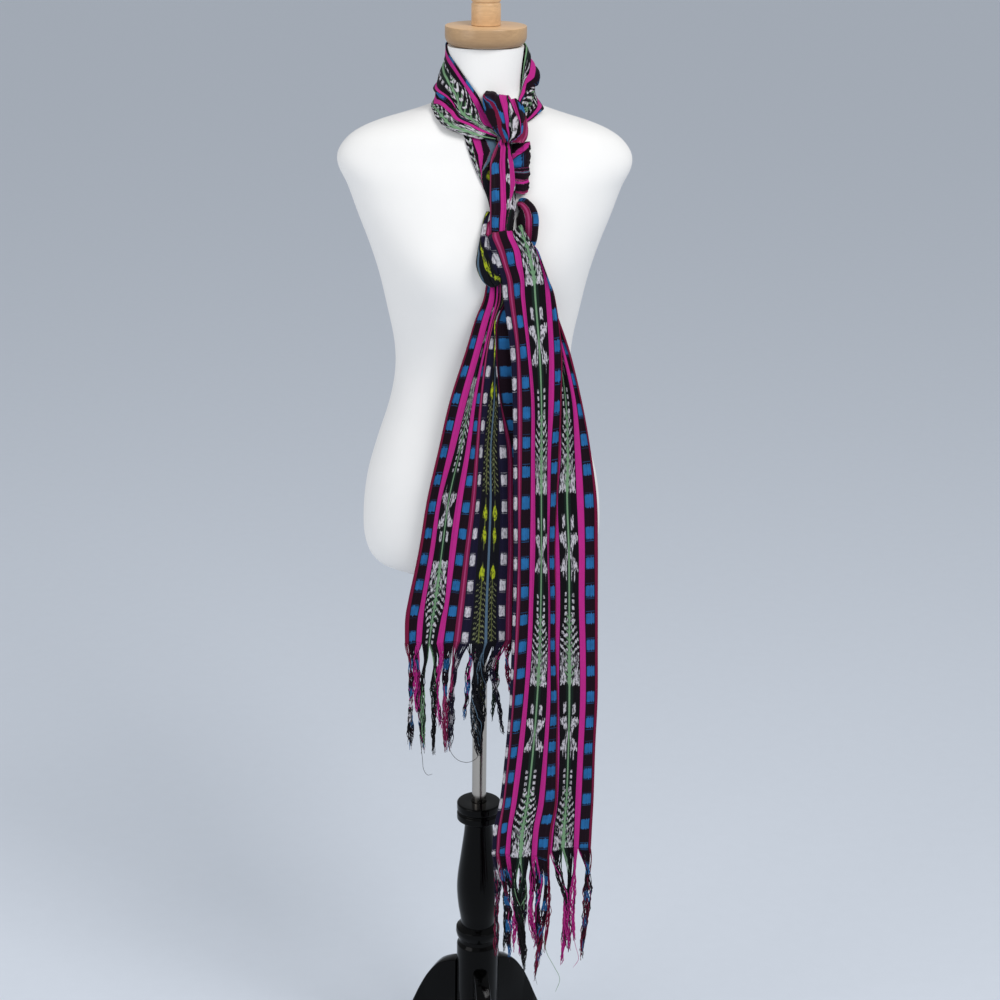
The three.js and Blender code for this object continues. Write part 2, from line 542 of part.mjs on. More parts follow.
// The last woven rows under a tail's end and the locks that hang from them. groups: a row for each
// bunch; from and to: its span of the strip, count: its locks, length and drift: of the bunch, sideways.
function fringe(tail, groups) {
  const strip = clothWall((s, t) => tail(s, 1).add(new THREE.Vector3(0, 0, -STRIP.gap - t * STRIP.height)),
    20, 1, STRIP.thickness);
  const locks = [];
  groups.forEach(({ from, to, count, length, drift }, g) => {
    for (let i = 0; i < count; i += 1) {
      const s = mix(from, to, count > 1 ? i / (count - 1) : 0.5);
      const root = tail(s, 1);
      const own = length * (1 - 0.09 * ((i * 2 + g) % 3));
      const rings = [];
      for (let k = 0; k <= LOCK.rings; k += 1) {
        const down = k / LOCK.rings;
        const half = mix(LOCK.root, LOCK.tip, down) / 2;
        const middle = new THREE.Vector3(
          root.x + drift * down ** 1.5 + 0.9 * Math.sin(5 * down + g),
          root.y + 1.2 * down * Math.sin(4 * down + 2 * g),
          root.z - STRIP.gap - STRIP.height / 2 - own * down,
        );
        rings.push(Array.from({ length: LOCK.sides }, (_, side) => {
          const around = 2 * Math.PI * side / LOCK.sides;
          return middle.clone().add(new THREE.Vector3(half * Math.cos(around), half * Math.sin(around), 0));
        }));
      }
      locks.push(ringBody(rings));
    }
  });
  return joined([strip, ...locks]);
}

const FRONT_FRINGE = [
  { from: 0.02, to: 0.08, count: 4, length: 150, drift: -6 },
  { from: 0.11, to: 0.18, count: 4, length: 172, drift: -3 },
  { from: 0.21, to: 0.27, count: 4, length: 165, drift: 4 },
  { from: 0.3, to: 0.36, count: 4, length: 140, drift: -2 },
  { from: 0.48, to: 0.54, count: 3, length: 120, drift: 3 },
  { from: 0.57, to: 0.64, count: 4, length: 158, drift: 5 },
  { from: 0.69, to: 0.75, count: 4, length: 150, drift: -4 },
  { from: 0.8, to: 0.87, count: 4, length: 168, drift: 4 },
  { from: 0.9, to: 0.98, count: 5, length: 175, drift: -7 },
];
const BACK_FRINGE = [
  { from: 0.02, to: 0.09, count: 5, length: 148, drift: 9 },
  { from: 0.12, to: 0.18, count: 4, length: 138, drift: 5 },
  { from: 0.22, to: 0.27, count: 4, length: 145, drift: -3 },
  { from: 0.31, to: 0.37, count: 4, length: 142, drift: 3 },
  { from: 0.42, to: 0.48, count: 4, length: 140, drift: -4 },
  { from: 0.52, to: 0.58, count: 4, length: 118, drift: -3 },
  { from: 0.69, to: 0.75, count: 4, length: 132, drift: 3 },
  { from: 0.82, to: 0.88, count: 3, length: 128, drift: -2 },
  { from: 0.93, to: 0.98, count: 3, length: 136, drift: 2 },
];

// ---------------------------------------------------------------- materials and assembly
const material = (color, roughness, metalness = 0) => (
  new THREE.MeshStandardMaterial({ color, roughness, metalness })
);
const cotton = () => material(0x5b2a52, 0.9);
const LEFT_PLEATS = { pleats: 2.5, pleatDepth: 1.6, skew: 2 };
const RIGHT_PLEATS = { pleats: 2, pleatDepth: 2.6, skew: 1 };
const pieces = {
  form_torso: [torso(), material(0xf1efec, 0.55)],
  neck_cap: [neckCap(), material(0xc8a073, 0.45)],
  cap_knob: [capKnob(), material(0xc8a073, 0.45)],
  pole: [pole(), material(0xb9b4aa, 0.3, 1)],
  stand_post: [post(), material(0x0c0b0d, 0.18)],
  leg_front: [leg(LEG.angles.front), material(0x0c0b0d, 0.18)],
  leg_right: [leg(LEG.angles.right), material(0x0c0b0d, 0.18)],
  leg_left: [leg(LEG.angles.left), material(0x0c0b0d, 0.18)],
  scarf_neck_back: [neckStretch(NECK_BACK_ROWS, LEFT_PLEATS, 10, 8), cotton()],
  scarf_neck_left: [neckStretch(NECK_LEFT_ROWS, LEFT_PLEATS, 11, 16), cotton()],
  scarf_neck_right: [neckStretch(NECK_RIGHT_ROWS, RIGHT_PLEATS, 11, 14), cotton()],
  scarf_under: [gatheredStretch(UNDER_ROWS, { pleats: 3, pleatDepth: 1.6 }, 10, 8), cotton()],
  scarf_throw: [gatheredStretch(THROW_ROWS, { pleats: 5, pleatDepth: 2.4, lay: 'level', bias: 0.15 }, 16, 10), cotton()],
  scarf_core: [gatheredStretch(CORE_ROWS, { pleats: 3, pleatDepth: 2.2 }, 12, 12), cotton()],
  scarf_wrap: [gatheredStretch(WRAP_ROWS, { pleats: 5, pleatDepth: 2, lay: 'upright' }, 16, 7), cotton()],
  scarf_loop: [gatheredStretch(LOOP_ROWS, { pleats: 1, pleatDepth: 0.8, bias: -0.2 }, 8, 12), cotton()],
  scarf_bulb: [gatheredStretch(BULB_ROWS, { pleats: 5, pleatDepth: 2.2, bias: 0.1 }, 16, 10), cotton()],
  scarf_tail_front: [clothWall(frontTail, 19, 17), cotton()],
  scarf_tail_back: [clothWall(backTail, 19, 13), cotton()],
  fringe_front: [fringe(frontTail, FRONT_FRINGE), cotton()],
  fringe_back: [fringe(backTail, BACK_FRINGE), cotton()],
};

const model = new THREE.Group();
for (const [name, [geometry, finish]] of Object.entries(pieces)) {
  const mesh = new THREE.Mesh(geometry, finish);
  mesh.name = name;
  model.add(mesh);
}
// The origin is on the floor under the middle of the whole.
const reach = new THREE.Box3().setFromObject(model);
model.position.set(-(reach.min.x + reach.max.x) / 2, -(reach.min.y + reach.max.y) / 2, -reach.min.z);

export default model;
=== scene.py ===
"""A handwoven cotton scarf with fringed ends, wound and tied round the neck of a dress form on its stand."""
import math

import bpy
import numpy as np
from bpy.props import FloatProperty, FloatVectorProperty, IntProperty, PointerProperty
from mathutils import Matrix, Vector


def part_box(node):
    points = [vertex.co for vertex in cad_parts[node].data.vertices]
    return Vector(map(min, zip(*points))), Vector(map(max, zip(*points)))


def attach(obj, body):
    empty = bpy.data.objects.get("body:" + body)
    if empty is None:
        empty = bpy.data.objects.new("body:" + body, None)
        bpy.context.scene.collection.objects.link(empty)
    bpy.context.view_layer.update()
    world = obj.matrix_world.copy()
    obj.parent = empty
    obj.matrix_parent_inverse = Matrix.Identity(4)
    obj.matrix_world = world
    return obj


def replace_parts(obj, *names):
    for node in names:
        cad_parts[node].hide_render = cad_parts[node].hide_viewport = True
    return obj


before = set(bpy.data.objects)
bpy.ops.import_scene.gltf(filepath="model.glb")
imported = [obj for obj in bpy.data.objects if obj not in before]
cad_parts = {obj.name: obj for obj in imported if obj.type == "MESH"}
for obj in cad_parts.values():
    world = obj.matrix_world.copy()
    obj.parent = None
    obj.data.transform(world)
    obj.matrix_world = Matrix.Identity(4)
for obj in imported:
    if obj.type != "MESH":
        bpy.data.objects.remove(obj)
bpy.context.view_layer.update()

bl_info = {
    "name": "Fringed scarf on a dress form",
    "version": (1, 0, 0),
    "blender": (4, 5, 0),
    "location": "3D View > Sidebar > Scarf",
    "description": "Builds a handwoven scarf, tied on a dress form, and the form's stand",
    "category": "Add Mesh",
}

AXIS = [(low + high) / 2 for low, high in zip(*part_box("pole"))][:2]  # of the pole, in metres

# the camera's place, from the pole's foot in metres, and its three directions
CAMERA = {"place": (0, -2.873, 1.924), "lens": 79.09, "sensor": 36,
          "right": (0.99992467, -0.00489199, 0.01125708), "up": (-0.00902169, 0.32893556, 0.94430927),
          "ahead": (0.00832241, 0.9443397, -0.32886665)}
# each lamp's place and aim, from the pole's foot, and how wide it is
LAMPS = {"key": ((1.7, -2.2, 3.8), (0, 0, 1.1), 1.6), "fill": ((-2.6, -2.0, 2.2), (0, 0, 1.0), 2.2)}
SKY = {"colour": (0.86, 0.9, 0.95, 1), "strength": 0.56}

# ------------------------------------------------------------ sizes, in millimetres from the pole's axis
SQUARENESS = 2.3
BUST = {"rise": 9, "x": 72, "wide": 40, "z": 1268, "tall": 52}
FORM_BOTTOM = 829
NECK_TOP = 1545
SEAM = 0.35
CAP = {"radius": 53, "height": 25.5, "edge": 12}
KNOB = {"radius": 19, "height": 40, "groove": 1.2}
POLE = {"radius": 10.3, "bottom": 220, "top": 1020}
POST = {"top": 460, "radius": 32, "shaft": 31, "foot": 62, "bore": 10.8, "floor": 112}
LEG_ANGLES = {"leg_front": -82, "leg_right": 38, "leg_left": 158}
LEG_THICKNESS = 22
LEG_EASE = 3.2


def table(columns, *rows):
    """Named columns of numbers, from rows."""
    return dict(zip(columns.split(), np.array(rows, float).T))


LEG = table(
    "top_r top_z low_r low_z",
    (31.35, 195, 31.35, 104), (45, 191, 45, 100), (62, 181, 57, 94), (78, 160, 69, 84), (91, 135, 81, 71),
    (103, 107, 92, 56), (115, 82, 104, 42), (131, 62, 120, 28), (152, 48, 146, 17), (177, 40, 176, 9),
    (201, 34, 198, 0), (219, 25, 215, 0), (228, 12, 224, 0),
)
FORM = table(
    "z half front back",
    (829, 118, 64, 70), (842, 146, 86, 92), (866, 160, 100, 108), (905, 163.5, 107, 116), (960, 158, 107, 117),
    (1009, 145, 102, 110), (1066, 127, 94, 95), (1110, 119, 90.5, 84), (1151, 119.5, 95, 81),
    (1206, 130, 108, 86), (1250, 140, 117.5, 92), (1288, 152, 118, 98), (1330, 168, 109, 100),
    (1366, 181, 98, 97), (1390, 192.5, 89, 93), (1407, 192.5, 82, 89), (1424, 181, 76, 84), (1436, 164, 71, 80),
    (1446, 140, 65, 75), (1455, 110, 59, 70), (1464, 82, 54, 65), (1474, 60, 49, 60), (1486, 48, 45, 55),
    (1502, 45.5, 43, 51), (1545, 49.5, 42, 48),
)
# Round the neck, from the crossing over the wearer's right, behind the neck and down the other side.
# Each edge as an angle and a height on the form, its stand-off, and the swell between the edges.
NECK = table(
    "up up_z low low_z up_lift low_lift swell",
    (-84.5, 1449, -87, 1433, 6, 8.5, 1.5), (-89, 1466, -91, 1434, 4, 8.5, 2.5), (-96, 1484, -97, 1438, 3, 8.5, 4),
    (-107, 1497, -105, 1443, 2.6, 8.5, 6), (-122, 1511, -117, 1453, 2.2, 6, 7), (-141, 1526, -135, 1462, 1.8, 4, 12),
    (-161, 1536, -155, 1467, 1.8, 4, 17), (-184, 1545, -175, 1471, 2.5, 4, 16), (-208, 1546, -200, 1477, 4, 3, 11),
    (-232, 1543, -232, 1482, 4, 2.5, 7), (-255, 1542, -255, 1486, 3, 1.8, 5), (-276, 1542, -276, 1487, 3, 1.8, 5),
    (-298, 1542, -296, 1485, 3, 1.8, 5), (-320, 1543, -316, 1482, 4, 2.5, 7), (-336, 1546, -334, 1477, 4, 4, 12),
    (-352, 1542, -352, 1471, 3.5, 5, 17), (-363, 1528, -372, 1468, 2.5, 5, 18), (-368, 1512, -388, 1464, 2.5, 5, 15),
    (-377, 1495, -400, 1462, 3, 5, 11), (-397, 1483, -412, 1459, 3, 4, 6), (-416, 1473, -423, 1455, 3, 3, 2.5),
    (-432, 1463, -435, 1450, 3, 3, 1),
)
# where in the neck's section the upper fold ends over the lower one, by a share of the length
NECK_SEAM = ((0, 0.61), (0.09, 0.63), (0.18, 0.7), (0.27, 0.86), (0.4, 0.8), (0.6, 0.6), (0.77, 0.52), (0.82, 0.34),
             (0.86, 0.26), (1, 0.2))
# The gathered stretches of the knots: where their middle runs, how far the crown stands off the form,
# the arched section's width and depth, and how far it turns to the side and up, in degrees.
STRETCH = "x z lift width depth face rise"
UNDER = table(
    STRETCH,
    (-12, 1451, 5.2, 34, 3.5, 0, 0), (-3, 1431, 6.5, 38, 5, 0, 0), (5.5, 1411, 8, 39, 6, 0, 0),
    (12.5, 1392, 8.5, 35, 6.5, 0, 0), (17.5, 1372, 8.5, 28, 6.5, 0, 0), (20, 1354, 7.5, 24, 5.5, 0, 0),
)
THROW = table(
    STRETCH,
    (25, 1485, 6, 42, 4, 0, 72), (25, 1490, 14, 50, 7, 0, 48), (26, 1486, 24, 54, 11, 0, 16),
    (30, 1473, 30, 52, 15, 0, 4), (34, 1457, 31, 44, 13, 0, 0), (37, 1446, 30, 34, 10, 0, 0),
    (36, 1437, 28, 26, 5, 0, 0),
)
CORE = table(
    STRETCH,
    (30, 1446, 16.3, 14, 4, 0, 0), (26, 1436, 19.3, 17, 6.5, 0, 0), (23, 1424, 22, 24, 9, 0, 0),
    (22, 1412, 23, 29, 10, 0, 0), (23, 1394, 24, 31, 11, 0, 0), (23.5, 1376, 24, 32, 11, 0, 0),
    (24, 1358, 24, 32, 11, 0, 0), (23, 1345, 24, 30, 10, 0, 0), (22, 1324, 22, 27, 8, 0, 0),
)
WRAP = table(
    STRETCH,
    (34, 1404, 9, 60, 2, 0, 0), (41, 1404, 10.5, 64, 3, 8, 0), (50, 1404, 12.5, 66, 4, 28, 0),
    (56, 1404, 8.5, 65, 4, 60, 0), (57.5, 1404, 3, 63, 3, 90, 0),
)
LOOP = table(
    STRETCH,
    (42, 1361, 9, 14, 7, 0, 0), (48, 1361, 15, 20, 13, 0, 0), (54, 1355, 18, 25, 16.8, 0, 0),
    (57, 1346, 19, 27, 17.9, 0, 0), (57.5, 1334, 19, 26, 17.8, 0, 0), (57, 1320, 16, 23, 14, 0, 0),
    (54, 1306, 12, 18, 10, 0, 0),
)
BULB = table(
    STRETCH,
    (14, 1350, 8.5, 22, 5, 0, 0), (12, 1338, 10.5, 27, 7, 0, 0), (11, 1322, 18, 32, 14, 0, 0),
    (9.5, 1304, 23, 36, 19, 0, 0), (9.5, 1287, 24, 39, 18, 0, 0), (13, 1271, 20, 34, 11, 0, 0),
    (18, 1260, 15, 22, 6, 0, 0),
)
# Which stripes of the cloth show in each gathered stretch. stripes: the distances across the cloth, in
# pairs, that each visible stripe starts and ends at. rows: a share of the length, then the cuts between them.
NECK_NEAR = {
    "stripes": (4, 15.3, 15.6, 25.4, 26, 39, 39, 52.3, 52.6, 61.8, 62.4, 74, 142, 144, 144.2, 153.2, 153.8, 176),
    "rows": (
        (0, 0.06, 0.3, 0.5, 0.6, 0.605, 0.61, 0.62, 0.7), (0.05, 0.08, 0.45, 0.55, 0.6, 0.605, 0.61, 0.62, 0.72),
        (0.09, 0.1, 0.3, 0.58, 0.62, 0.625, 0.63, 0.67, 0.73), (0.18, 0.1, 0.22, 0.64, 0.69, 0.695, 0.7, 0.75, 0.81),
        (0.27, 0.04, 0.16, 0.39, 0.66, 0.72, 0.86, 0.91, 0.965), (0.36, 0.03, 0.14, 0.3, 0.62, 0.68, 0.84, 0.89, 0.95),
    ),
}
NECK_FAR = {
    "stripes": (166.5, 168.6, 168.8, 180.3, 180.6, 190.6, 191, 192.4, 27, 39, 39, 52.3, 52.6, 61.8, 62.4, 66),
    "rows": (
        (0.6, 0.03, 0.17, 0.28, 0.55, 0.65, 0.85, 0.95), (0.73, 0.03, 0.21, 0.32, 0.55, 0.66, 0.9, 0.98),
        (0.77, 0.03, 0.22, 0.33, 0.52, 0.62, 0.9, 0.98), (0.82, 0.02, 0.1, 0.24, 0.34, 0.5, 0.85, 0.96),
        (0.86, 0.01, 0.03, 0.16, 0.26, 0.52, 0.87, 0.96), (0.91, 0.005, 0.01, 0.1, 0.16, 0.5, 0.86, 0.96),
    ),
}
# Where a stretch spreads a sliver of the dark ground (about 14.2 to 15) or of the grey middle line (101.8 to 104.2)
# over a wide share of its section, that colour is painted shade in the knot's hollows and creases.
STRIPES = {
    "under": {
        # painted shade: the dark ground and the grey middle line spread here fill the shaded hollow between the neck
        # band's end and the core
        "stripes": (50.3, 41.2, 14.5, 15, 15.6, 25.4, 14.4, 14.8, 102, 104, 92, 100),
        "rows": (
            (0, 0.2, 0.22, 0.4, 0.5, 0.9), (0.1, 0.3, 0.32, 0.5, 0.6, 0.93), (0.3, 0.24, 0.32, 0.44, 0.6, 0.8),
            (0.5, 0.2, 0.22, 0.24, 0.245, 0.25), (0.7, 0.01, 0.015, 0.02, 0.025, 0.03),
        ),
    },
    "throw": {
        # painted shade: the dark ground spread over parts of the first shares here darkens the throw's shaded inner
        # loops
        "stripes": (12, 4, 14.6, 14.2, 1.4, 0.4, 14.2, 14.6, 3.2, 15.3, 15.6, 25.4, 26, 26.4, 42, 49.5, 52.6, 62,
                    62.6, 73.5, 75.4, 80.2, 81, 82),
        "rows": (
            (0.15, 0, 0, 0.01, 0.31, 0.33, 0.445, 0.455, 0.456, 0.58, 0.97, 0.99),
            (0.3, 0.01, 0.02, 0.1, 0.3, 0.335, 0.435, 0.445, 0.45, 0.58, 0.97, 0.99),
            (0.4, 0.06, 0.17, 0.24, 0.28, 0.345, 0.43, 0.44, 0.47, 0.58, 0.95, 0.99),
            (0.5, 0.08, 0.215, 0.265, 0.275, 0.35, 0.4, 0.42, 0.5, 0.58, 0.8, 0.98),
            (0.6, 0.08, 0.2, 0.27, 0.275, 0.34, 0.385, 0.4, 0.575, 0.585, 0.65, 0.95),
            (0.8, 0.02, 0.1, 0.2, 0.205, 0.3, 0.33, 0.38, 0.57, 0.575, 0.6, 0.95),
            (1, 0.02, 0.06, 0.2, 0.205, 0.25, 0.28, 0.3, 0.34, 0.345, 0.36, 0.97),
        ),
    },
    "core": {
        "stripes": (82, 80.4, 80.2, 75.4, 74.8, 62.2, 61.8, 52.6, 51.5, 46, 25.3, 15.6, 36, 27),
        "rows": (
            (0, 0.02, 0.2, 0.25, 0.45, 0.6, 0.62), (0.1, 0.02, 0.08, 0.1, 0.45, 0.6, 0.65),
            (0.2, 0.02, 0.28, 0.37, 0.58, 0.66, 0.82), (0.3, 0.02, 0.28, 0.43, 0.59, 0.67, 0.9),
            (0.4, 0.02, 0.14, 0.43, 0.585, 0.7, 0.95), (0.5, 0.02, 0.14, 0.43, 0.575, 0.69, 0.99),
            (0.6, 0.02, 0.14, 0.43, 0.575, 0.69, 0.82), (0.7, 0.02, 0.14, 0.43, 0.58, 0.66, 0.67),
            (1, 0.02, 0.14, 0.43, 0.6, 0.62, 0.625),
        ),
    },
    "wrap": {
        "stripes": (14.2, 15, 52.6, 61.8, 62.4, 74.8, 14.4, 14.8, 101.8, 104.2, 14.4, 14.8, 75.4, 80.2, 144.2, 153.2,
                    14.4, 14.8, 75.4, 79),
        "rows": (
            (0.1, 0.3, 0.38, 0.51, 0.55, 0.57, 0.65, 0.68, 0.735, 0.88),
            (0.6, 0.1, 0.25, 0.5, 0.545, 0.565, 0.65, 0.67, 0.71, 0.85),
            (1, 0.05, 0.15, 0.5, 0.545, 0.565, 0.65, 0.67, 0.71, 0.85),
        ),
    },
    # painted shade: the dark ground spread over the first three tenths of the section fills the dark hollow behind the
    # loop
    "loop": {"stripes": (14.4, 14.8, 80, 75.4, 15.2, 3, 2.6, 0), "rows": ((0, 0.3, 0.46, 0.86),)},
    "bulb": {
        "stripes": (113.6, 112, 104.4, 101.6, 101.4, 99.8, 99.6, 94, 93.8, 90, 87.8, 81.6, 80.3, 75, 74.8, 74),
        "rows": (
            (0, 0.05, 0.1, 0.15, 0.3, 0.4, 0.6, 0.9), (0.2, 0.01, 0.02, 0.03, 0.05, 0.08, 0.37, 0.55),
            (0.3, 0.01, 0.02, 0.03, 0.05, 0.1, 0.36, 0.5), (0.4, 0.05, 0.12, 0.18, 0.25, 0.3, 0.56, 0.65),
            (0.5, 0.16, 0.24, 0.3, 0.42, 0.48, 0.64, 0.7), (0.6, 0.17, 0.27, 0.38, 0.52, 0.57, 0.68, 0.75),
            (0.7, 0.18, 0.28, 0.42, 0.54, 0.6, 0.72, 0.8), (0.8, 0.18, 0.26, 0.46, 0.6, 0.66, 0.8, 0.9),
            (0.9, 0.1, 0.2, 0.58, 0.76, 0.8, 0.92, 0.98),
        ),
    },
}
# The two tails, folded lengthwise, at a row of heights: where each of these lines of the cloth lies.
# The number in a column's name is the line's distance from the near selvage across the cloth.
TAIL_FRONT = table(
    "z u0 u15 u25 u52 u62 u75 u80 fold v153 v180 v190 v203 v206 y lean slant",
    (1331, 59, 58.5, 58, 36, 28, 18, 10.5, 8.5, 34, 40, 43, 48, 52, -131, 2, 0),
    (1324, 61.5, 61, 60, 38, 30, 20, 11, 8.5, 38, 42, 45, 52, 56, -138, 3, 3),
    (1307, 68.5, 67.9, 66.6, 45.7, 37.5, 26, 18, 12, 45, 50, 53, 59, 63, -140, 5, 8),
    (1288, 75.2, 74.6, 72, 49.2, 40.9, 30.7, 24.5, 18.5, 52, 58, 61, 66, 70, -139, 6, 10),
    (1268, 82.6, 81.3, 76.8, 52, 46.3, 36.4, 30.2, 25.5, 60, 65, 69, 74, 77, -137, 6, 12),
    (1242, 92, 86.4, 79.3, 53.7, 48, 39.5, 33, 28, 72, 77, 80, 84, 87, -134, 3, 13),
    (1175, 101.8, 91.5, 84.4, 61.2, 56.7, 47.1, 42.9, 37.5, 92, 101, 104.5, 109, 111.6, -133, 1, 13),
    (1108, 102.5, 92.8, 85, 67.7, 62.9, 51, 45.4, 41.6, 100, 116.3, 120.9, 126.8, 128.7, -132, 0, 12),
    (1040, 102, 90.2, 85.2, 69.6, 64, 52, 46.4, 43.4, 104, 121.1, 129, 140.2, 142.1, -132, 0, 10),
    (971, 100.1, 90.2, 86.2, 71.1, 64.7, 51.9, 47.6, 44.6, 101, 125.3, 134.6, 148.5, 152.4, -132, 0, 6),
    (900, 98.8, 90.1, 87.5, 72.4, 64.9, 51.9, 48.9, 45.8, 104.3, 129.6, 137.9, 150.9, 155.6, -132, 0, 3),
    (828, 100.9, 92.8, 90.1, 71.1, 64.6, 52.6, 47.9, 45.9, 107, 131.2, 139.3, 153.4, 157.5, -132, 0, 3),
    (756, 102.3, 94.2, 90.9, 69.8, 63.1, 50.4, 46.3, 44.8, 107.2, 134.3, 142.4, 155.3, 159.3, -132, 0, 5),
    (682, 106.5, 96, 90.4, 65.8, 59.4, 46.7, 44.2, 42.8, 108.4, 136.3, 144.2, 156.8, 160.9, -132, 0, 9),
    (607, 107.3, 93.8, 87.6, 60.5, 52.6, 42.8, 39.9, 38.5, 110.5, 135, 143, 155.9, 159.4, -132, 0, 13),
    (530, 108.1, 90.5, 82.2, 52.7, 45.3, 36.4, 33.7, 31.9, 109.7, 133.7, 141.9, 155.8, 159, -132, 0, 19),
    (484, 102.1, 84, 75.6, 46.3, 40.1, 31, 26.8, 23.4, 105, 133.4, 140.5, 154, 157.8, -132, 0, 23),
    (438, 99.3, 81.8, 73.4, 44, 37.1, 28.7, 24.5, 21, 102.7, 133.2, 139.8, 153.5, 157, -132, 0, 26),
)
TAIL_BACK = table(
    "z u0 u2 u15 u25 u52 u62 u75 u80 u90 u103 u116 u126 u131 fold y v206 lean",
    (1276, 5, 7, 11, 15, 17, 18, 19, 20, 22, 23, 23.6, 24.2, 25, 27, -122.4, 10, 0),
    (1258, 3, 5, 9, 14, 17, 18.5, 20.5, 22, 24.5, 26, 26.5, 27, 28, 32, -123, 12, 0),
    (1237, -1, 1, 6, 13.5, 16.1, 17.3, 19.9, 21.2, 23.8, 25.1, 25.7, 26.3, 27.6, 38, -122.6, 14, 0),
    (1211, -10.8, -9.3, -1.7, 6.7, 9.2, 11.2, 12.5, 13.8, 15, 15.7, 16.3, 17, 17.6, 41, -121, 12.5, 0),
    (1170, -22.5, -20.2, -11.8, -3.3, 0.6, 2.5, 4.4, 5.7, 14.6, 15.5, 15.9, 16.2, 16.8, 43, -119.2, 8, 0),
    (1103, -42.6, -40, -29.5, -20.4, -12.6, -8.6, -3.4, -0.8, 7.7, 14.9, 20.7, 22.1, 22.7, 46, -118, -4, 0),
    (1034, -57.5, -54.8, -44.3, -35.8, -21.9, -16, -8.8, -4.8, 2.4, 11, 20.2, 33.4, 38, 47, -118, -12, 0),
    (965, -72.6, -69.3, -58.7, -53.4, -33.5, -25.5, -14.2, -8.5, -0.9, 11.7, 24.3, 34.9, 40.8, 48, -118, -18, 0),
    (894, -83.3, -79.2, -68.5, -62.5, -42.5, -33.8, -21.7, -15.7, -5, 10.3, 23.7, 36.4, 42.4, 49, -118, -21.5, 0),
    (822, -97.5, -92.8, -79.9, -73.9, -48.3, -42.5, -29.4, -22, -9.2, 8.1, 21.8, 34.6, 42, 50, -118, -25, 0),
    (793, -102, -96.5, -85, -77, -54, -46.5, -32.5, -24.8, -11.6, 7.7, 22.1, 34.6, 41.7, 50, -118, -26, 0),
    (757, -102.5, -97.5, -87.4, -79.5, -60, -50.5, -36.2, -28, -14.5, 7.4, 22.6, 34.7, 41.5, 50, -118, -27, 0),
)
# the cloth's width, the repeats of its two patterns, and how far its green line and its thin stalks lie from
# its middle
CLOTH = {"width": 206, "check": 41, "jaspe": 279, "jaspe_line": 64, "middle_lines": 6.2}
NECK_PATTERN = {"start": 264, "lower": 30, "lower_behind": 20, "upper_behind": -95}
FRONT_PATTERN = 1261  # the height that the front tail's pattern is counted down from
BACK_PATTERN = {"from": 880, "run": 41 / 37.5}  # and up from on the back tail, which lies a little slack
# the waves along the tails' edges: their height, how far apart they are, and where they start
FRONT_WAVE, BACK_WAVE = (2.2, 44, 0.1), (2.0, 50, 0.35)
# the weft was beaten in unevenly, so the front tail's pattern runs a little long or short
BEATEN = ((0, -2), (270, -3), (310, -8), (364, -11), (446, -10), (514, -6), (578, -1), (812, 14))


def smooth(rows, column, at, key=None):
    """A column of a table, smoothly between its rows. at is a row number, or a value of the key column."""
    values = rows[column]
    places = rows[key] if key else np.arange(len(values), dtype=float)
    x = np.clip(at, places[0], places[-1])
    i = np.clip(np.searchsorted(places, x, side="left") - 1, 0, len(places) - 2)
    slopes = np.empty(len(values))
    slopes[1:-1] = (values[2:] - values[:-2]) / (places[2:] - places[:-2])
    slopes[0] = (values[1] - values[0]) / (places[1] - places[0])
    slopes[-1] = (values[-1] - values[-2]) / (places[-1] - places[-2])
    step = places[i + 1] - places[i]
    t = (x - places[i]) / step
    return ((2 * t**3 - 3 * t**2 + 1) * values[i] + (t**3 - 2 * t**2 + t) * step * slopes[i]
            + (3 * t**2 - 2 * t**3) * values[i + 1] + (t**3 - t**2) * step * slopes[i + 1])


def ease(x, low, high):
    t = np.clip((x - low) / (high - low), 0, 1)
    return t * t * (3 - 2 * t)


def waves(s, t, count, seed):
    """Uneven soft waves across s that wander along t, from -1 to 1."""
    rng = np.random.default_rng(seed)
    total = 0
    for k, share in ((1, 0.55), (1.7, 0.3), (2.9, 0.15)):
        phase, drift, sway = rng.uniform(0, 2 * np.pi), rng.uniform(-1.2, 1.2), rng.uniform(0.3, 0.9)
        total = total + share * np.sin(2 * np.pi * k * count * s + phase + drift * t * 3
                                       + sway * np.sin(5 * t + phase))
    return total


# ------------------------------------------------------------ the dress form's surface
def unit(v):
    return v / np.maximum(np.linalg.norm(v, axis=-1, keepdims=True), 1e-9)


def bust_swell(x, z):
    return BUST["rise"] * np.exp(-(((np.abs(x) - BUST["x"]) / BUST["wide"]) ** 2)
                                 - ((z - BUST["z"]) / BUST["tall"]) ** 2)


def form_point(degrees, z):
    c, s = np.cos(np.radians(degrees)), np.sin(np.radians(degrees))
    power = 2 / SQUARENESS
    x = np.sign(c) * smooth(FORM, "half", z, "z") * np.abs(c) ** power
    depth = np.where(s < 0, smooth(FORM, "front", z, "z"), smooth(FORM, "back", z, "z"))
    y = np.sign(s) * depth * np.abs(s) ** power - np.where(s < 0, bust_swell(x, z), 0)
    return np.stack(np.broadcast_arrays(x, y, z), -1)


def form_normal(degrees, z):
    around = form_point(degrees + 0.2, z) - form_point(degrees - 0.2, z)
    up = form_point(degrees, z + 1) - form_point(degrees, z - 1)
    return unit(np.cross(around, up))


def front_of_form(x, z):
    share = np.minimum(np.abs(x) / smooth(FORM, "half", z, "z"), 1) ** SQUARENESS
    return -smooth(FORM, "front", z, "z") * (1 - share) ** (1 / SQUARENESS) - bust_swell(x, z)


def front_normal(x, z):
    slope_x = (front_of_form(x + 1, z) - front_of_form(x - 1, z)) / 2
    slope_z = (front_of_form(x, z + 1) - front_of_form(x, z - 1)) / 2
    return unit(np.stack([slope_x, -np.ones_like(slope_x), slope_z], -1))


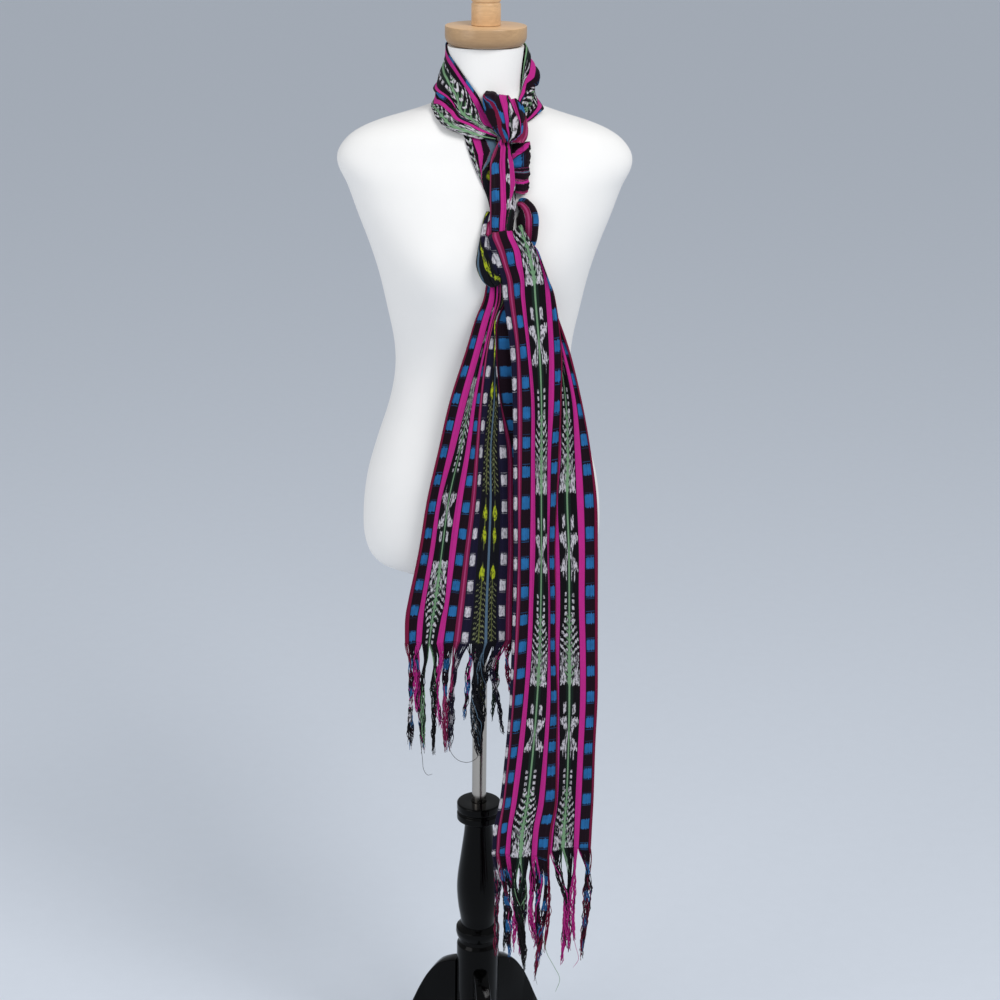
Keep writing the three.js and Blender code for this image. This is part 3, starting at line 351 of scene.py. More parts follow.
# ------------------------------------------------------------ meshes
def make_object(name, points, faces, uv=None, material=None, body="form", slot=None, sharp=None):
    """A smooth-shaded object from points in millimetres round the pole's axis."""
    mesh = bpy.data.meshes.new(name)
    placed = np.asarray(points, float) / 1000 + np.array([AXIS[0], AXIS[1], 0])
    mesh.from_pydata(placed.tolist(), [], faces if isinstance(faces, list) else faces.tolist())
    if uv is not None:
        layer = mesh.uv_layers.new(name="cloth")
        corner = np.empty(len(mesh.loops), dtype=np.int32)
        mesh.loops.foreach_get("vertex_index", corner)
        layer.data.foreach_set("uv", np.asarray(uv, float)[corner].ravel())
    mesh.polygons.foreach_set("use_smooth", [True] * len(mesh.polygons))
    if sharp is not None:
        mesh.set_sharp_from_angle(angle=math.radians(sharp))
    mesh.update()
    obj = bpy.data.objects.new(name, mesh)
    bpy.context.scene.collection.objects.link(obj)
    if material:
        mesh.materials.append(material)
    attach(obj, body)
    return obj


def grid_faces(rows, columns, closed=False):
    j, i = np.meshgrid(np.arange(rows - 1), np.arange(columns if closed else columns - 1), indexing="ij")
    k = (i + 1) % columns
    return np.stack([j * columns + i, j * columns + k, (j + 1) * columns + k, (j + 1) * columns + i],
                    -1).reshape(-1, 4)


def lathe(profile, facets):
    """Points and faces of a turned piece; the profile's first and last point lie on the axis."""
    inner = np.array(profile[1:-1], float)
    angle = np.arange(facets) * 2 * np.pi / facets
    ring = np.stack([np.outer(inner[:, 0], np.cos(angle)), np.outer(inner[:, 0], np.sin(angle)),
                     np.outer(inner[:, 1], np.ones(facets))], -1).reshape(-1, 3)
    points = np.vstack([ring, [[0, 0, profile[0][1]], [0, 0, profile[-1][1]]]])
    faces = grid_faces(len(inner), facets, closed=True).tolist()
    low, high = len(points) - 2, len(points) - 1
    top = (len(inner) - 1) * facets
    for i in range(facets):
        k = (i + 1) % facets
        faces.append([low, k, i])
        faces.append([high, top + i, top + k])
    return points, faces


def rounded(profile, radius, steps=4):
    """The profile with each corner of it eased by that radius."""
    points = [np.array(p, float) for p in profile]
    out = [points[0]]
    for before, here, after in zip(points, points[1:], points[2:]):
        a, b = before - here, after - here
        cut = min(radius, np.linalg.norm(a) * 0.45, np.linalg.norm(b) * 0.45)
        start, end = here + a / np.linalg.norm(a) * cut, here + b / np.linalg.norm(b) * cut
        for k in range(steps + 1):
            t = k / steps
            out.append((1 - t) ** 2 * start + 2 * t * (1 - t) * here + t**2 * end)
    out.append(points[-1])
    return [tuple(p) for p in out]


def wall(middle, uv, thickness):
    """A closed wall of cloth about a middle surface of shape (along, across, 3), with its cloth places."""
    along, across = middle.shape[:2]
    step_across = np.gradient(middle, axis=1)
    step_along = np.gradient(middle, axis=0)
    normal = unit(np.cross(step_across, step_along))
    sides = [middle + normal * thickness / 2, middle - normal * thickness / 2]
    points = np.concatenate([side.reshape(-1, 3) for side in sides])
    faces = grid_faces(along, across)
    count = along * across
    rim = ([(0, i) for i in range(across)] + [(j, across - 1) for j in range(1, along)]
           + [(along - 1, i) for i in range(across - 2, -1, -1)] + [(j, 0) for j in range(along - 2, 0, -1)])
    rim = [j * across + i for j, i in rim]
    edge = [[b, a, a + count, b + count] for a, b in zip(rim, rim[1:] + rim[:1])]
    faces = np.concatenate([faces, faces[:, ::-1] + count, np.array(edge)])
    flat = uv.reshape(-1, 2)
    return points, faces, np.concatenate([flat, flat])


# ------------------------------------------------------------ the cloth's pieces
def along_of(middle):
    """How far along the cloth each row of a middle surface is, in millimetres, from its first row."""
    line = middle[:, middle.shape[1] // 3: 2 * middle.shape[1] // 3 + 1].mean(axis=1)
    return np.concatenate([[0], np.cumsum(np.linalg.norm(np.diff(line, axis=0), axis=1))])


def places(s, t, laid):
    """Each point's distance across the cloth, in a stretch that shows these stripes, edge to edge."""
    at = [row[0] for row in laid["rows"]]
    # each cut ends one stripe and starts the next
    edges = np.array([[0, *np.repeat(row[1:], 2), 1] for row in laid["rows"]]).T
    out = np.empty_like(s)
    for j in range(len(s)):
        out[j] = np.interp(s[j], [np.interp(t[j, 0], at, edge) for edge in edges], laid["stripes"])
    return out


def area_of(middle):
    a, b, c, d = middle[:-1, :-1], middle[:-1, 1:], middle[1:, 1:], middle[1:, :-1]
    halves = np.linalg.norm(np.cross(b - a, c - a), axis=-1) + np.linalg.norm(np.cross(c - a, d - a), axis=-1)
    return float(halves.sum()) / 2


def cloth_piece(name, nodes, middle, across, along, finish, thickness=1.2):
    """One stretch of the scarf, built in place of its plain nodes. One stretch of the
    scarf, declared with the flat size of what shows of it.
    """
    uv = np.stack(np.broadcast_arrays(across, along), -1)
    points, faces, uv = wall(middle, uv, thickness)
    obj = make_object(name, points, faces, uv, finish, slot="cotton")
    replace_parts(obj, *nodes)
    length = float(along_of(middle)[-1])
    width = min(area_of(middle) / length, CLOTH["width"])
    return obj


def neck_seam(t):
    """Where in the neck band's section its upper fold ends, over the lower one."""
    return np.interp(t, *zip(*NECK_SEAM))


def neck_surface(across, along):
    s, t = np.meshgrid(np.linspace(0, 1, across), np.linspace(0, 1, along))
    at = lambda column: smooth(NECK, column, t * (len(NECK["up"]) - 1))
    degrees = at("up") + (at("low") - at("up")) * s
    z = at("up_z") + (at("low_z") - at("up_z")) * s
    right = ease(t, 0.4, 0.52)
    arch = np.sin(np.pi * s ** (2 - right))
    full = np.minimum(at("swell") / 8, 1)
    pleats = (1 - 2 * np.abs(np.sin(np.pi * (2.5 - 0.5 * right) * s + 0.5 * np.sin(3 * t))) ** 0.8) * (1.6 + right)
    fine = 1.5 * waves(s, t, 2.6, 5) + 0.7 * waves(s, t, 6.5, 6)
    # the upper part of the cloth lies over the lower, with a deep crease between them
    seam = neck_seam(t)
    crease = -4.2 * np.exp(-(((s - seam) / 0.022) ** 2)) - 2.2 * ease(s, seam, seam + 0.02) * (1 - ease(s, seam, 1))
    second = -1.8 * np.exp(-(((s - 0.27 - 0.05 * np.sin(7 * t)) / 0.03) ** 2)) * (0.4 + 0.6 * ease(t, 0.05, 0.2))
    lift = (at("up_lift") + (at("low_lift") - at("up_lift")) * s + at("swell") * arch
            + full * (pleats + fine) * arch + full * (crease + second) * np.sin(np.pi * s) ** 0.5)
    out = form_normal(degrees, z)
    out[..., 2] *= s**3
    return form_point(degrees, z) + unit(out) * np.maximum(lift, 1.3)[..., None], s, t


def gathered_surface(rows, across, along, pleats, depth, seed, lay="square", bias=0.0, fine=0.9):
    """A gathered stretch with an arched, pleated section, its edges turned back to the form."""
    last = len(rows["x"]) - 1
    s, t = np.meshgrid(np.linspace(0, 1, across), np.linspace(0, 1, along))

    def crown(t):
        x, z = smooth(rows, "x", t * last), smooth(rows, "z", t * last)
        return np.stack([x, front_of_form(x, z) - smooth(rows, "lift", t * last), z], -1)

    at = lambda column: smooth(rows, column, t * last)
    tangent = unit(crown(np.minimum(t + 0.02, 1)) - crown(np.maximum(t - 0.02, 0)))
    face = np.radians(at("face"))
    out = front_normal(at("x"), at("z")) * np.cos(face)[..., None]
    out[..., 0] += np.sin(face)
    out[..., 2] += np.tan(np.radians(at("rise")))
    out = unit(out - tangent * (out * tangent).sum(-1, keepdims=True))
    if lay == "level":
        side = np.broadcast_to([1.0, 0, 0], out.shape)
    elif lay == "upright":
        slope = (front_of_form(at("x"), at("z") + 15) - front_of_form(at("x"), at("z") - 15)) / 30
        side = np.stack([0 * slope, -slope, 0 * slope - 1], -1)
    else:
        side = np.cross(tangent, out)
    side = unit(side - out * (side * out).sum(-1, keepdims=True))
    turn = (2 * s - 1) * np.pi / 2
    sway = 0.05 * np.sin(4 * t + seed) * np.sin(np.pi * s)
    ripple = depth * (np.abs(np.cos(np.pi * pleats * (s + sway))) ** 0.8 - 1) * np.cos(turn)
    ripple = ripple + fine * waves(s, t, 1.7 * pleats, seed) * np.cos(turn)
    return (crown(t) + side * ((np.sin(turn) / 2 + bias * np.cos(turn) ** 2) * at("width"))[..., None]
            + out * ((np.cos(turn) - 1) * at("depth") + ripple)[..., None]), s, t


# ------------------------------------------------------------ the tails
FRONT_LINES = {"u0": 0, "u15": 15.5, "u25": 25.5, "u52": 52.5, "u62": 62, "u75": 75, "u80": 80, "fold": 85}
FRONT_BACK_LINES = {"fold": 89, "v153": 153.5, "v180": 180.5, "v190": 190.5, "v203": 203.5, "v206": 206}
BACK_LINES = {"u0": 0, "u2": 2.5, "u15": 15.5, "u25": 25.5, "u52": 52.5, "u62": 62, "u75": 75, "u80": 80, "u90": 90,
              "u103": 103, "u116": 116, "u126": 126, "u131": 131, "fold": 139}
BACK_BACK_LINES = {"fold": 143, "v206": 206}
FOLD_GAP = 4
# how far the front tail's top edge lies above a level line, by the distance across the cloth
KNOT_EDGE = ((0, -26), (12, -20), (25, -13), (34, -2), (39, 7), (44, 4), (52, -2), (62, 0), (75, -1), (80, -4),
             (86, -7), (206, -12))


def tail_section(rows, near, far, t, u):
    """x and y of a tail folded lengthwise, at shares t of its length and distances u across the cloth."""
    last = len(rows["z"]) - 1
    at = lambda column: smooth(rows, column, t * last)
    z = at("z")
    us = list(near.values()) + list(far.values())
    xs = np.stack([at(c) for c in near] + [at(c) for c in far])
    out = math.copysign(1, float(np.mean(rows["fold"] - rows["u0"])))
    k = np.clip(np.searchsorted(us, u, side="right") - 1, 0, len(us) - 2)
    low, high = np.array(us)[k], np.array(us)[k + 1]
    share = (u - low) / (high - low)
    pick = lambda i: np.take_along_axis(xs.reshape(len(us), -1), i.reshape(1, -1), axis=0).reshape(u.shape)
    x0, x1 = pick(k), pick(k + 1)
    x = x0 + (x1 - x0) * share
    fold_start, fold_end = near["fold"], far["fold"]
    turning = np.clip((u - fold_start) / (fold_end - fold_start), 0, 1) * np.pi
    x = x + out * FOLD_GAP / 2 * np.sin(turning)
    depth = -FOLD_GAP / 2 * np.cos(turning)
    # where the cloth lies narrower than it is wide, it stands in soft pleats
    spare = np.clip(1 - np.abs(x1 - x0) / (high - low), 0, 0.8)
    pleat = np.where((k % 2) == 0, 1, -1) * np.minimum(0.2 * (high - low) * np.sqrt(spare), 3.4)
    pleat = np.where(u < fold_start, pleat, np.where(u > fold_end, np.minimum(pleat, 1.2), 0))
    depth = depth - pleat * np.sin(np.pi * share) ** 2 * ease(1320 - z, 0, 60)
    over = np.clip((x - at("fold")) / (at("v206") - at("fold")), 0, None)
    return x, at("y") + depth + at("lean") * over, z


def tail_surface(rows, near, far, across, along, wave, end_rise, top=None):
    us = np.concatenate([np.linspace(0, near["fold"], int(across * near["fold"] / 206)),
                         np.linspace(near["fold"], far["fold"], 9)[1:],
                         np.linspace(far["fold"], 206, int(across * (206 - far["fold"]) / 206) + 1)[1:]])
    u, t = np.meshgrid(us, np.linspace(0, 1, along))
    x, y, z = tail_section(rows, near, far, t, u)
    height, spacing, phase = wave
    slack = ease(1300 - z, 0, 260)
    y = y + height * slack * np.sin(2 * np.pi * (x / spacing + phase) + z / 190)
    y = y + 1.3 * slack * waves(u / 206, t, 5, 11)
    last = len(rows["z"]) - 1
    end = np.clip(t * last - last + 1, 0, 1) ** 2
    z = z + end_rise * (u / 206) * end + end * 1.6 * np.sin(u / 9)
    if top:
        # where the cloth comes out of the knot its edge is uneven and turns in
        near_top = 1 - ease(t * last, 0, 2.2)
        z = z + np.interp(u, *zip(*top)) * near_top
        y = y + 4 * (1 - np.clip(t * last / 0.7, 0, 1)) ** 2
    return np.stack([x, y, z], -1), u, t


def tail_end(surface, u, at):
    """The point of a tail's last row at a distance across the cloth."""
    row = surface[-1]
    return np.array([np.interp(at, u[-1], row[:, k]) for k in range(3)])


# ------------------------------------------------------------ fringe
LOCK = "from to x1 z1 x2 z2 x3 z3 yarns width tip"
FRONT_LOCKS = table(
    LOCK,
    (79, 88, 27, 401, 26, 346, 27, 279, 20, 10, 2), (68, 79, 35, 401, 44, 346, 45, 278, 20, 10, 70),
    (57, 68, 43, 408, 56, 362, 60, 282, 16, 8, 57), (50, 57, 48, 401, 53, 338, 51, 290, 14, 8, 18),
    (39, 50, 51, 401, 56, 362, 67, 255, 22, 11, 45), (28, 39, 64, 401, 60, 362, 68, 275, 22, 11, 31),
    (19, 28, 76, 401, 74, 354, 80, 309, 18, 9, 21), (9, 19, 88, 401, 85, 354, 90, 282, 20, 10, 14),
    (3, 9, 95, 401, 93, 346, 82, 246, 18, 9, 1.5), (0, 3, 99, 401, 100, 346, 95, 290, 10, 6, 1),
    (92, 112, 41, 401, 40, 346, 39, 290, 18, 10, 100), (112, 130, 62, 401, 65, 346, 62, 282, 18, 10, 120),
    (130, 148, 85, 401, 84, 351, 82, 290, 18, 10, 150),
    (151, 166, 112, 421, 124, 365, 129, 290, 22, 11, 17),
    (166, 180, 129, 421, 127, 365, 120, 267, 22, 10, 150),
    (180, 189, 135, 421, 133, 365, 137, 309, 16, 8, 186),
    (189, 206, 154, 421, 153, 362, 148, 278, 24, 12, 204),
)
BACK_LOCKS = table(
    LOCK,
    (0, 10, -94, 720, -94, 673, -96, 597, 20, 9, 31), (8, 20, -85, 720, -84, 673, -78, 594, 20, 9, 33),
    (14, 26, -89, 726, -87, 694, -87, 656, 20, 12, 20), (26, 39, -74, 736, -78, 703, -77, 603, 16, 7, 38),
    (39, 50, -61, 732, -63, 688, -63, 592, 18, 9, 30), (50, 62, -53, 735, -59, 688, -55, 632, 16, 7, 56),
    (62, 75, -46, 726, -48, 682, -46, 597, 24, 11, 77), (75, 80, -35, 741, -39, 688, -42, 597, 12, 7, 80),
    (80, 90, -29, 739, -36, 697, -40, 600, 16, 8, 88), (92, 103, -5, 726, -6, 673, -2, 592, 30, 15, 92),
    (103, 113, 3, 726, 2, 673, 1, 591, 28, 13, 91), (112, 122, 14, 726, 6, 694, -2, 661, 14, 8, 91),
    (118, 128, 17, 720, 24, 676, 32, 622, 16, 8, 116), (126, 137, 36, 739, 39, 711, 43, 682, 16, 9, 130),
    (150, 170, 23, 720, 21, 688, 17, 641, 14, 8, 165),
    (174, 200, -16, 720, -17, 688, -21, 644, 14, 8, 200),
)
# single yarns that have come loose: a distance across the cloth, then places the yarn passes
FRONT_STRAYS = (
    (39, ((92.7, 0, 322.1), (98.5, -2, 290.4), (108.8, -3, 269.8), (117.5, -3, 249.1), (111.7, -2, 226.9))),
    (150, ((132.1, 1, 330.1), (139.4, 0, 298.3), (143.8, 0, 277.7), (136.5, 1, 263.4))),
    (15, ((89.8, -1, 314.2), (88.3, -3, 274.5), (82.5, -3, 255.5), (85.4, -2, 236.5))),
)
BACK_STRAYS = (
    (50, ((-47.1, 0, 636.5), (-40.3, -2, 599.7), (-29.3, -2, 585), (-14.3, -2, 582.1), (-2, -1, 590.9),
          (2, 0, 621.8))),
    (30, ((-82.6, 0, 621.8), (-78.5, -2, 585), (-77.1, -2, 570.3), (-71.7, -2, 561.5), (-64.8, -2, 563))),
)
YARN = {"radius": 0.72, "rings": 24, "sides": 3, "stray_radius": 0.42, "stray_rings": 40}


def yarn_tube(path, radius, sides):
    """Points and faces of a thin tube along a path, closed at both ends."""
    tangent = unit(np.gradient(path, axis=0))
    side = unit(np.cross(tangent, [0.0, -1.0, 0.0]))
    up = np.cross(side, tangent)
    angle = np.arange(sides) * 2 * np.pi / sides
    ring = path[:, None] + radius[:, None, None] * (np.cos(angle)[None, :, None] * side[:, None]
                                                    + np.sin(angle)[None, :, None] * up[:, None])
    faces = grid_faces(len(path), sides, closed=True).tolist()
    top = (len(path) - 1) * sides
    faces.append(list(range(sides - 1, -1, -1)))
    faces.append([top + i for i in range(sides)])
    return ring.reshape(-1, 3), faces


def spline(points, count):
    """A smooth path through points, by their distance along it."""
    points = np.array(points, float)
    place = np.concatenate([[0], np.cumsum(np.linalg.norm(np.diff(points, axis=0), axis=1))])
    rows = {"x": points[:, 0], "y": points[:, 1], "z": points[:, 2], "s": place}
    at = np.linspace(0, place[-1], count)
    return np.stack([smooth(rows, k, at, "s") for k in "xyz"], -1), at


def fringe(name, surface, u, along_end, direction, locks, strays, finish, seed):
    """Bunches of loose warp yarns that hang from a tail's end."""
    rng = np.random.default_rng(seed)
    points, faces, uv = [], [], []
    count = 0

    def add(path, across, along, radius):
        nonlocal count
        taper = np.interp(np.linspace(0, 1, len(path)), [0, 0.06, 0.9, 1], [1.2, 1, 0.9, 0.45])
        ring, tube = yarn_tube(path, radius * taper, YARN["sides"])
        points.append(ring)
        faces.extend([[i + count for i in face] for face in tube])
        uv.append(np.stack([np.repeat(across, YARN["sides"]), np.repeat(along, YARN["sides"])], -1))
        count += len(ring)

    def places_of(at, distance, tip=None):
        """A yarn's place in the cloth's pattern; past the weave the dyed stripes stay dark."""
        w = abs(at - CLOTH["width"] / 2)
        share = distance / distance[-1]
        across = np.where(share < (rng.uniform(0.4, 0.62) if tip is not None else 2), at, tip if tip else at)
        if w < 13.2 or 50.5 < w < 77.5:
            return across, round(along_end / CLOTH["jaspe"]) * CLOTH["jaspe"] + 6 + distance * 0.1
        return across, along_end + direction * distance

    for n in range(len(locks["from"])):
        lock = {k: float(v[n]) for k, v in locks.items()}
        middle = tail_end(surface, u, (lock["from"] + lock["to"]) / 2)
        bulge = rng.uniform(-2, 2)
        path = [middle, (lock["x1"], middle[1] + bulge, lock["z1"]), (lock["x2"], middle[1] - bulge, lock["z2"]),
                (lock["x3"], middle[1] + bulge, lock["z3"])]
        centre, distance = spline(path, YARN["rings"])
        share = distance / distance[-1]
        twist = rng.uniform(0.5, 1.3) * rng.choice([-1, 1])
        swell = 0.8 + 0.28 * np.sin(rng.uniform(7, 12) * share + n) - 0.35 * ease(share, 0.75, 1)
        for k in range(int(lock["yarns"])):
            at = lock["from"] + (lock["to"] - lock["from"]) * (k + rng.uniform(0.2, 0.8)) / lock["yarns"]
            root = tail_end(surface, u, at) + np.array([0, 0, 1.2])
            angle = 2 * np.pi * (rng.uniform() + twist * share)
            reach = lock["width"] / 2 * np.sqrt(rng.uniform(0.05, 1)) * swell
            around = np.stack([np.cos(angle), 0.55 * np.sin(angle), 0.25 * np.sin(2 * angle)], -1) * reach[:, None]
            gather = ease(share, 0.0, 0.3)[:, None]
            drop = root + (centre - centre[0])
            strand = drop * (1 - gather) + (centre + around) * gather
            strand = strand + rng.normal(0, 0.3, (YARN["rings"], 3)) * ease(share, 0.05, 0.3)[:, None]
            crimp = np.sin(distance * rng.uniform(0.16, 0.26) + rng.uniform(0, 6.3)) * ease(share, 0.1, 0.5)
            strand[:, 0] += rng.uniform(0.3, 1.7) * crimp
            end = rng.uniform(0.88, 1.02)
            strand = strand[0] + (strand - strand[0]) * np.array([1, 1, end])
            tip = lock["tip"] + rng.uniform(-1, 1) if rng.uniform() < 0.75 else None
            add(strand, *places_of(at, distance * end, tip), YARN["radius"] * rng.uniform(0.85, 1.2))
    for at, path in strays:
        start = np.array([path[0][0], tail_end(surface, u, at)[1] + path[0][1], path[0][2]])
        line, distance = spline([start] + [(x, start[1] + y, z) for x, y, z in path[1:]],
                                YARN["stray_rings"])
        add(line, *places_of(at, distance), YARN["stray_radius"])
    return make_object(name, np.concatenate(points), faces, np.concatenate(uv), finish, slot="cotton")


# ------------------------------------------------------------ the form and the stand
def torso_mesh(around, along):
    """The torso's shell: its bottom edge turned in, and its neck open under the cap."""
    angle = np.arange(around) * 360 / around
    heights = np.concatenate([np.linspace(FORM_BOTTOM + 2, 1395, along), np.linspace(1395, NECK_TOP, along // 2)[1:]])
    degrees, z = np.meshgrid(angle, heights)
    rings = form_point(degrees, z)
    lower = []
    for inset, drop in ((14, 2), (7, 2), (3, 1.6), (1, 0.9)):
        ring = form_point(angle, np.full(around, FORM_BOTTOM + 2.0))
        outward = unit(ring * np.array([1, 1, 0]))
        ring = ring - outward * inset
        ring[:, 2] -= drop
        lower.append(ring)
    bottom = form_point(angle, np.full(around, FORM_BOTTOM + 2.0)) * np.array([0.4, 0.4, 1]) - np.array([0, 0, 2])
    bore = np.stack([POST["bore"] * np.cos(np.radians(angle)), POST["bore"] * np.sin(np.radians(angle)),
                     np.full(around, float(FORM_BOTTOM))], -1)
    roof = bore + np.array([0, 0, POLE["top"] + SEAM - FORM_BOTTOM])
    grid = np.concatenate([np.stack([roof, bore, bottom] + lower), rings])
    points = np.vstack([grid.reshape(-1, 3), [[0, 0, POLE["top"] + SEAM], [0, 0, NECK_TOP]]])
    faces = grid_faces(len(grid), around, closed=True).tolist()
    last = (len(grid) - 1) * around
    for i in range(around):
        k = (i + 1) % around
        faces.append([len(points) - 2, k, i])
        faces.append([len(points) - 1, last + i, last + k])
    return points, faces


def cap_profile():
    low, high = NECK_TOP + SEAM, NECK_TOP + SEAM + CAP["height"]
    out = [(0, low), (CAP["radius"] - CAP["edge"], low)]
    for turn in range(15, 91, 15):
        a = math.radians(turn)
        out.append((CAP["radius"] - CAP["edge"] * (1 - math.sin(a)), low + CAP["edge"] * (1 - math.cos(a))))
    return out + [(CAP["radius"], high - 1.4), (CAP["radius"] - 0.4, high - 0.4), (CAP["radius"] - 1.4, high),
                  (0, high)]


def knob_profile():
    base = NECK_TOP + CAP["height"] + 2 * SEAM
    r, h, g = KNOB["radius"], KNOB["height"], KNOB["groove"]
    return rounded([(0, base), (r, base), (r, base + 0.68 * h), (r - g, base + 0.7 * h), (r - g, base + 0.74 * h),
                    (r, base + 0.76 * h), (r, base + 0.88 * h), (0.9 * r, base + 0.96 * h), (0.7 * r, base + h),
                    (0, base + h)], 0.8)


def post_profile():
    top, r, foot = POST["top"], POST["radius"], POST["foot"]
    outer = [(0, foot), (POST["shaft"] - 3, foot), (POST["shaft"], foot + 3), (POST["shaft"], top - 233),
             (27.5, top - 228), (27, top - 222), (r - 1, top - 219), (r + 0.5, top - 212), (r, top - 205),
             (24.5, top - 203)]
    vase = np.array([(24.5, top - 203), (26, top - 190), (29.5, top - 168), (31.5, top - 142), (30.5, top - 120),
                     (26, top - 85), (21.5, top - 50), (20, top - 31)])
    rows = {"r": vase[:, 0], "z": vase[:, 1]}
    turned = [(float(smooth(rows, "r", z, "z")), float(z)) for z in np.linspace(top - 200, top - 33, 36)]
    head = [(20, top - 31), (r - 4, top - 29), (r, top - 26), (r, top - 17), (r - 3, top - 14), (r, top - 11),
            (r, top - 1.5), (r - 1.5, top), (POST["bore"], top), (POST["bore"], POST["floor"]), (0, POST["floor"])]
    return rounded(outer, 1.2)[:-1] + turned + rounded([turned[-1]] + head, 0.9)[1:]


def leg_mesh(degrees, steps):
    """An arched board with rounded edges, from the post to its toe."""
    turn = math.radians(degrees)
    half = LEG_THICKNESS / 2
    t = np.linspace(0, len(LEG["top_r"]) - 1, steps)
    top = np.stack([smooth(LEG, "top_r", t), smooth(LEG, "top_z", t)], -1)
    low = np.stack([smooth(LEG, "low_r", t), smooth(LEG, "low_z", t)], -1)
    top[:, 1], low[:, 1] = np.maximum(top[:, 1], 0), np.maximum(low[:, 1], 0)
    inward = unit(low - top)
    section = []
    for side, edge in ((1, top), (-1, top), (-1, low), (1, low)):
        into = inward if edge is top else -inward
        corner = [(half, 1), (half - LEG_EASE * 0.29, 0.29), (half - LEG_EASE, 0)]
        order = corner if (side, edge is top) in ((1, True), (-1, False)) else corner[::-1]
        for across, share in order:
            section.append((edge + into * LEG_EASE * share, side * across))
    rings = []
    for rz, across in section:
        rings.append(np.stack([rz[:, 0] * math.cos(turn) - across * math.sin(turn),
                               rz[:, 0] * math.sin(turn) + across * math.cos(turn), rz[:, 1]], -1))
    grid = np.stack(rings, axis=1)
    faces = grid_faces(len(grid), len(section), closed=True)[:, ::-1].tolist()
    count = len(section)
    faces.append(list(range(count)))
    faces.append(list(range(len(grid) * count - 1, (len(grid) - 1) * count - 1, -1)))
    return grid.reshape(-1, 3), faces


# ------------------------------------------------------------ finishes
class Value:
    """A number, a colour or a direction in a material's nodes, which sums in Python like a plain number."""

    def __init__(self, tree, socket):
        self.tree, self.socket = tree, socket

    def math(self, operation, *others, clamp=False):
        node = self.tree.nodes.new("ShaderNodeMath")
        node.operation, node.use_clamp = operation, clamp
        for socket, value in zip(node.inputs, (self, *others)):
            Finish.feed(self.tree, socket, value)
        return Value(self.tree, node.outputs[0])

    def __add__(self, other):
        return self.math("ADD", other)

    def __mul__(self, other):
        return self.math("MULTIPLY", other)

    __radd__, __rmul__ = __add__, __mul__

    def __sub__(self, other):
        return self.math("SUBTRACT", other)

    def __rsub__(self, other):
        return (self * -1) + other

    def __truediv__(self, other):
        return self.math("DIVIDE", other)

    def __pow__(self, other):
        return self.math("POWER", other)

    def __abs__(self):
        return self.math("ABSOLUTE")

    def sine(self):
        return self.math("SINE")

    def fraction(self):
        return self.math("FRACT")

    def least(self, other):
        return self.math("MINIMUM", other)

    def most(self, other):
        return self.math("MAXIMUM", other)

    def between(self, low, high, soft=0.3):
        """1 where the value lies from low to high, 0 beyond, with soft edges."""
        rise = ((self - low) / soft).math("ADD", 0.5, clamp=True)
        fall = ((high - self) / soft).math("ADD", 0.5, clamp=True)
        return rise * fall

    def over(self, edge, soft=0.3):
        return ((self - edge) / soft).math("ADD", 0.5, clamp=True)

    def under(self, edge, soft=0.3):
        return 1 - self.over(edge, soft)


class Finish:
    """A material that is built from sums of values."""

    def __init__(self, name):
        self.material = bpy.data.materials.new(name)
        self.material.use_nodes = True
        self.tree = self.material.node_tree
        self.tree.nodes.clear()

    @staticmethod
    def feed(tree, socket, value):
        if isinstance(value, Value):
            tree.links.new(value.socket, socket)
        elif value is not None:
            socket.default_value = value

    def node(self, kind, settings=None, out=0, **inputs):
        """A new node. Inputs by the socket's name, with spaces as underscores."""
        node = self.tree.nodes.new("ShaderNode" + kind)
        for key, value in (settings or {}).items():
            setattr(node, key, value)
        for key, value in inputs.items():
            self.feed(self.tree, node.inputs[key.replace("_", " ")], value)
        return Value(self.tree, node.outputs[out])

    def place(self, scale=(1, 1, 1)):
        """The object's own coordinates, scaled."""
        return self.node("Mapping", Vector=self.node("TexCoord", out=3), Scale=scale)

    def noise(self, at, scale=1.0, detail=2, rough=0.5, warp=0):
        return self.node("TexNoise", {"noise_dimensions": "3D"}, Vector=at, Scale=scale, Detail=detail,
                         Roughness=rough, Distortion=warp)

    def mix(self, share, low, high):
        node = self.tree.nodes.new("ShaderNodeMix")
        node.data_type = "RGBA"
        for socket, value in zip((node.inputs[0], node.inputs[6], node.inputs[7]), (share, low, high)):
            Finish.feed(self.tree, socket, (*value, 1) if isinstance(value, tuple) else value)
        return Value(self.tree, node.outputs[2])

    def layers(self, colour, *layers):
        """The colour, with each layer's own colour over it where its mask is 1."""
        for mask, over in layers:
            colour = self.mix(mask, colour, over)
        return colour

    def ramp(self, value, low, high):
        """0 up to low and 1 from high, straight between."""
        return (value - low).math("MULTIPLY", 1 / (high - low), clamp=True)

    def bump(self, height, strength, distance):
        return self.node("Bump", Height=height, Strength=strength, Distance=distance)

    def surface(self, **inputs):
        shader = self.node("BsdfPrincipled", **{k: (*v, 1) if isinstance(v, tuple) else v for k, v in inputs.items()})
        out = self.tree.nodes.new("ShaderNodeOutputMaterial")
        self.tree.links.new(shader.socket, out.inputs["Surface"])
        return self.material


def srgb(red, green, blue):
    """A colour given in 0 to 255 as it looks, in the renderer's own linear numbers."""
    shares = (red / 255, green / 255, blue / 255)
    return tuple(c / 12.92 if c <= 0.04045 else ((c + 0.055) / 1.055) ** 2.4 for c in shares)


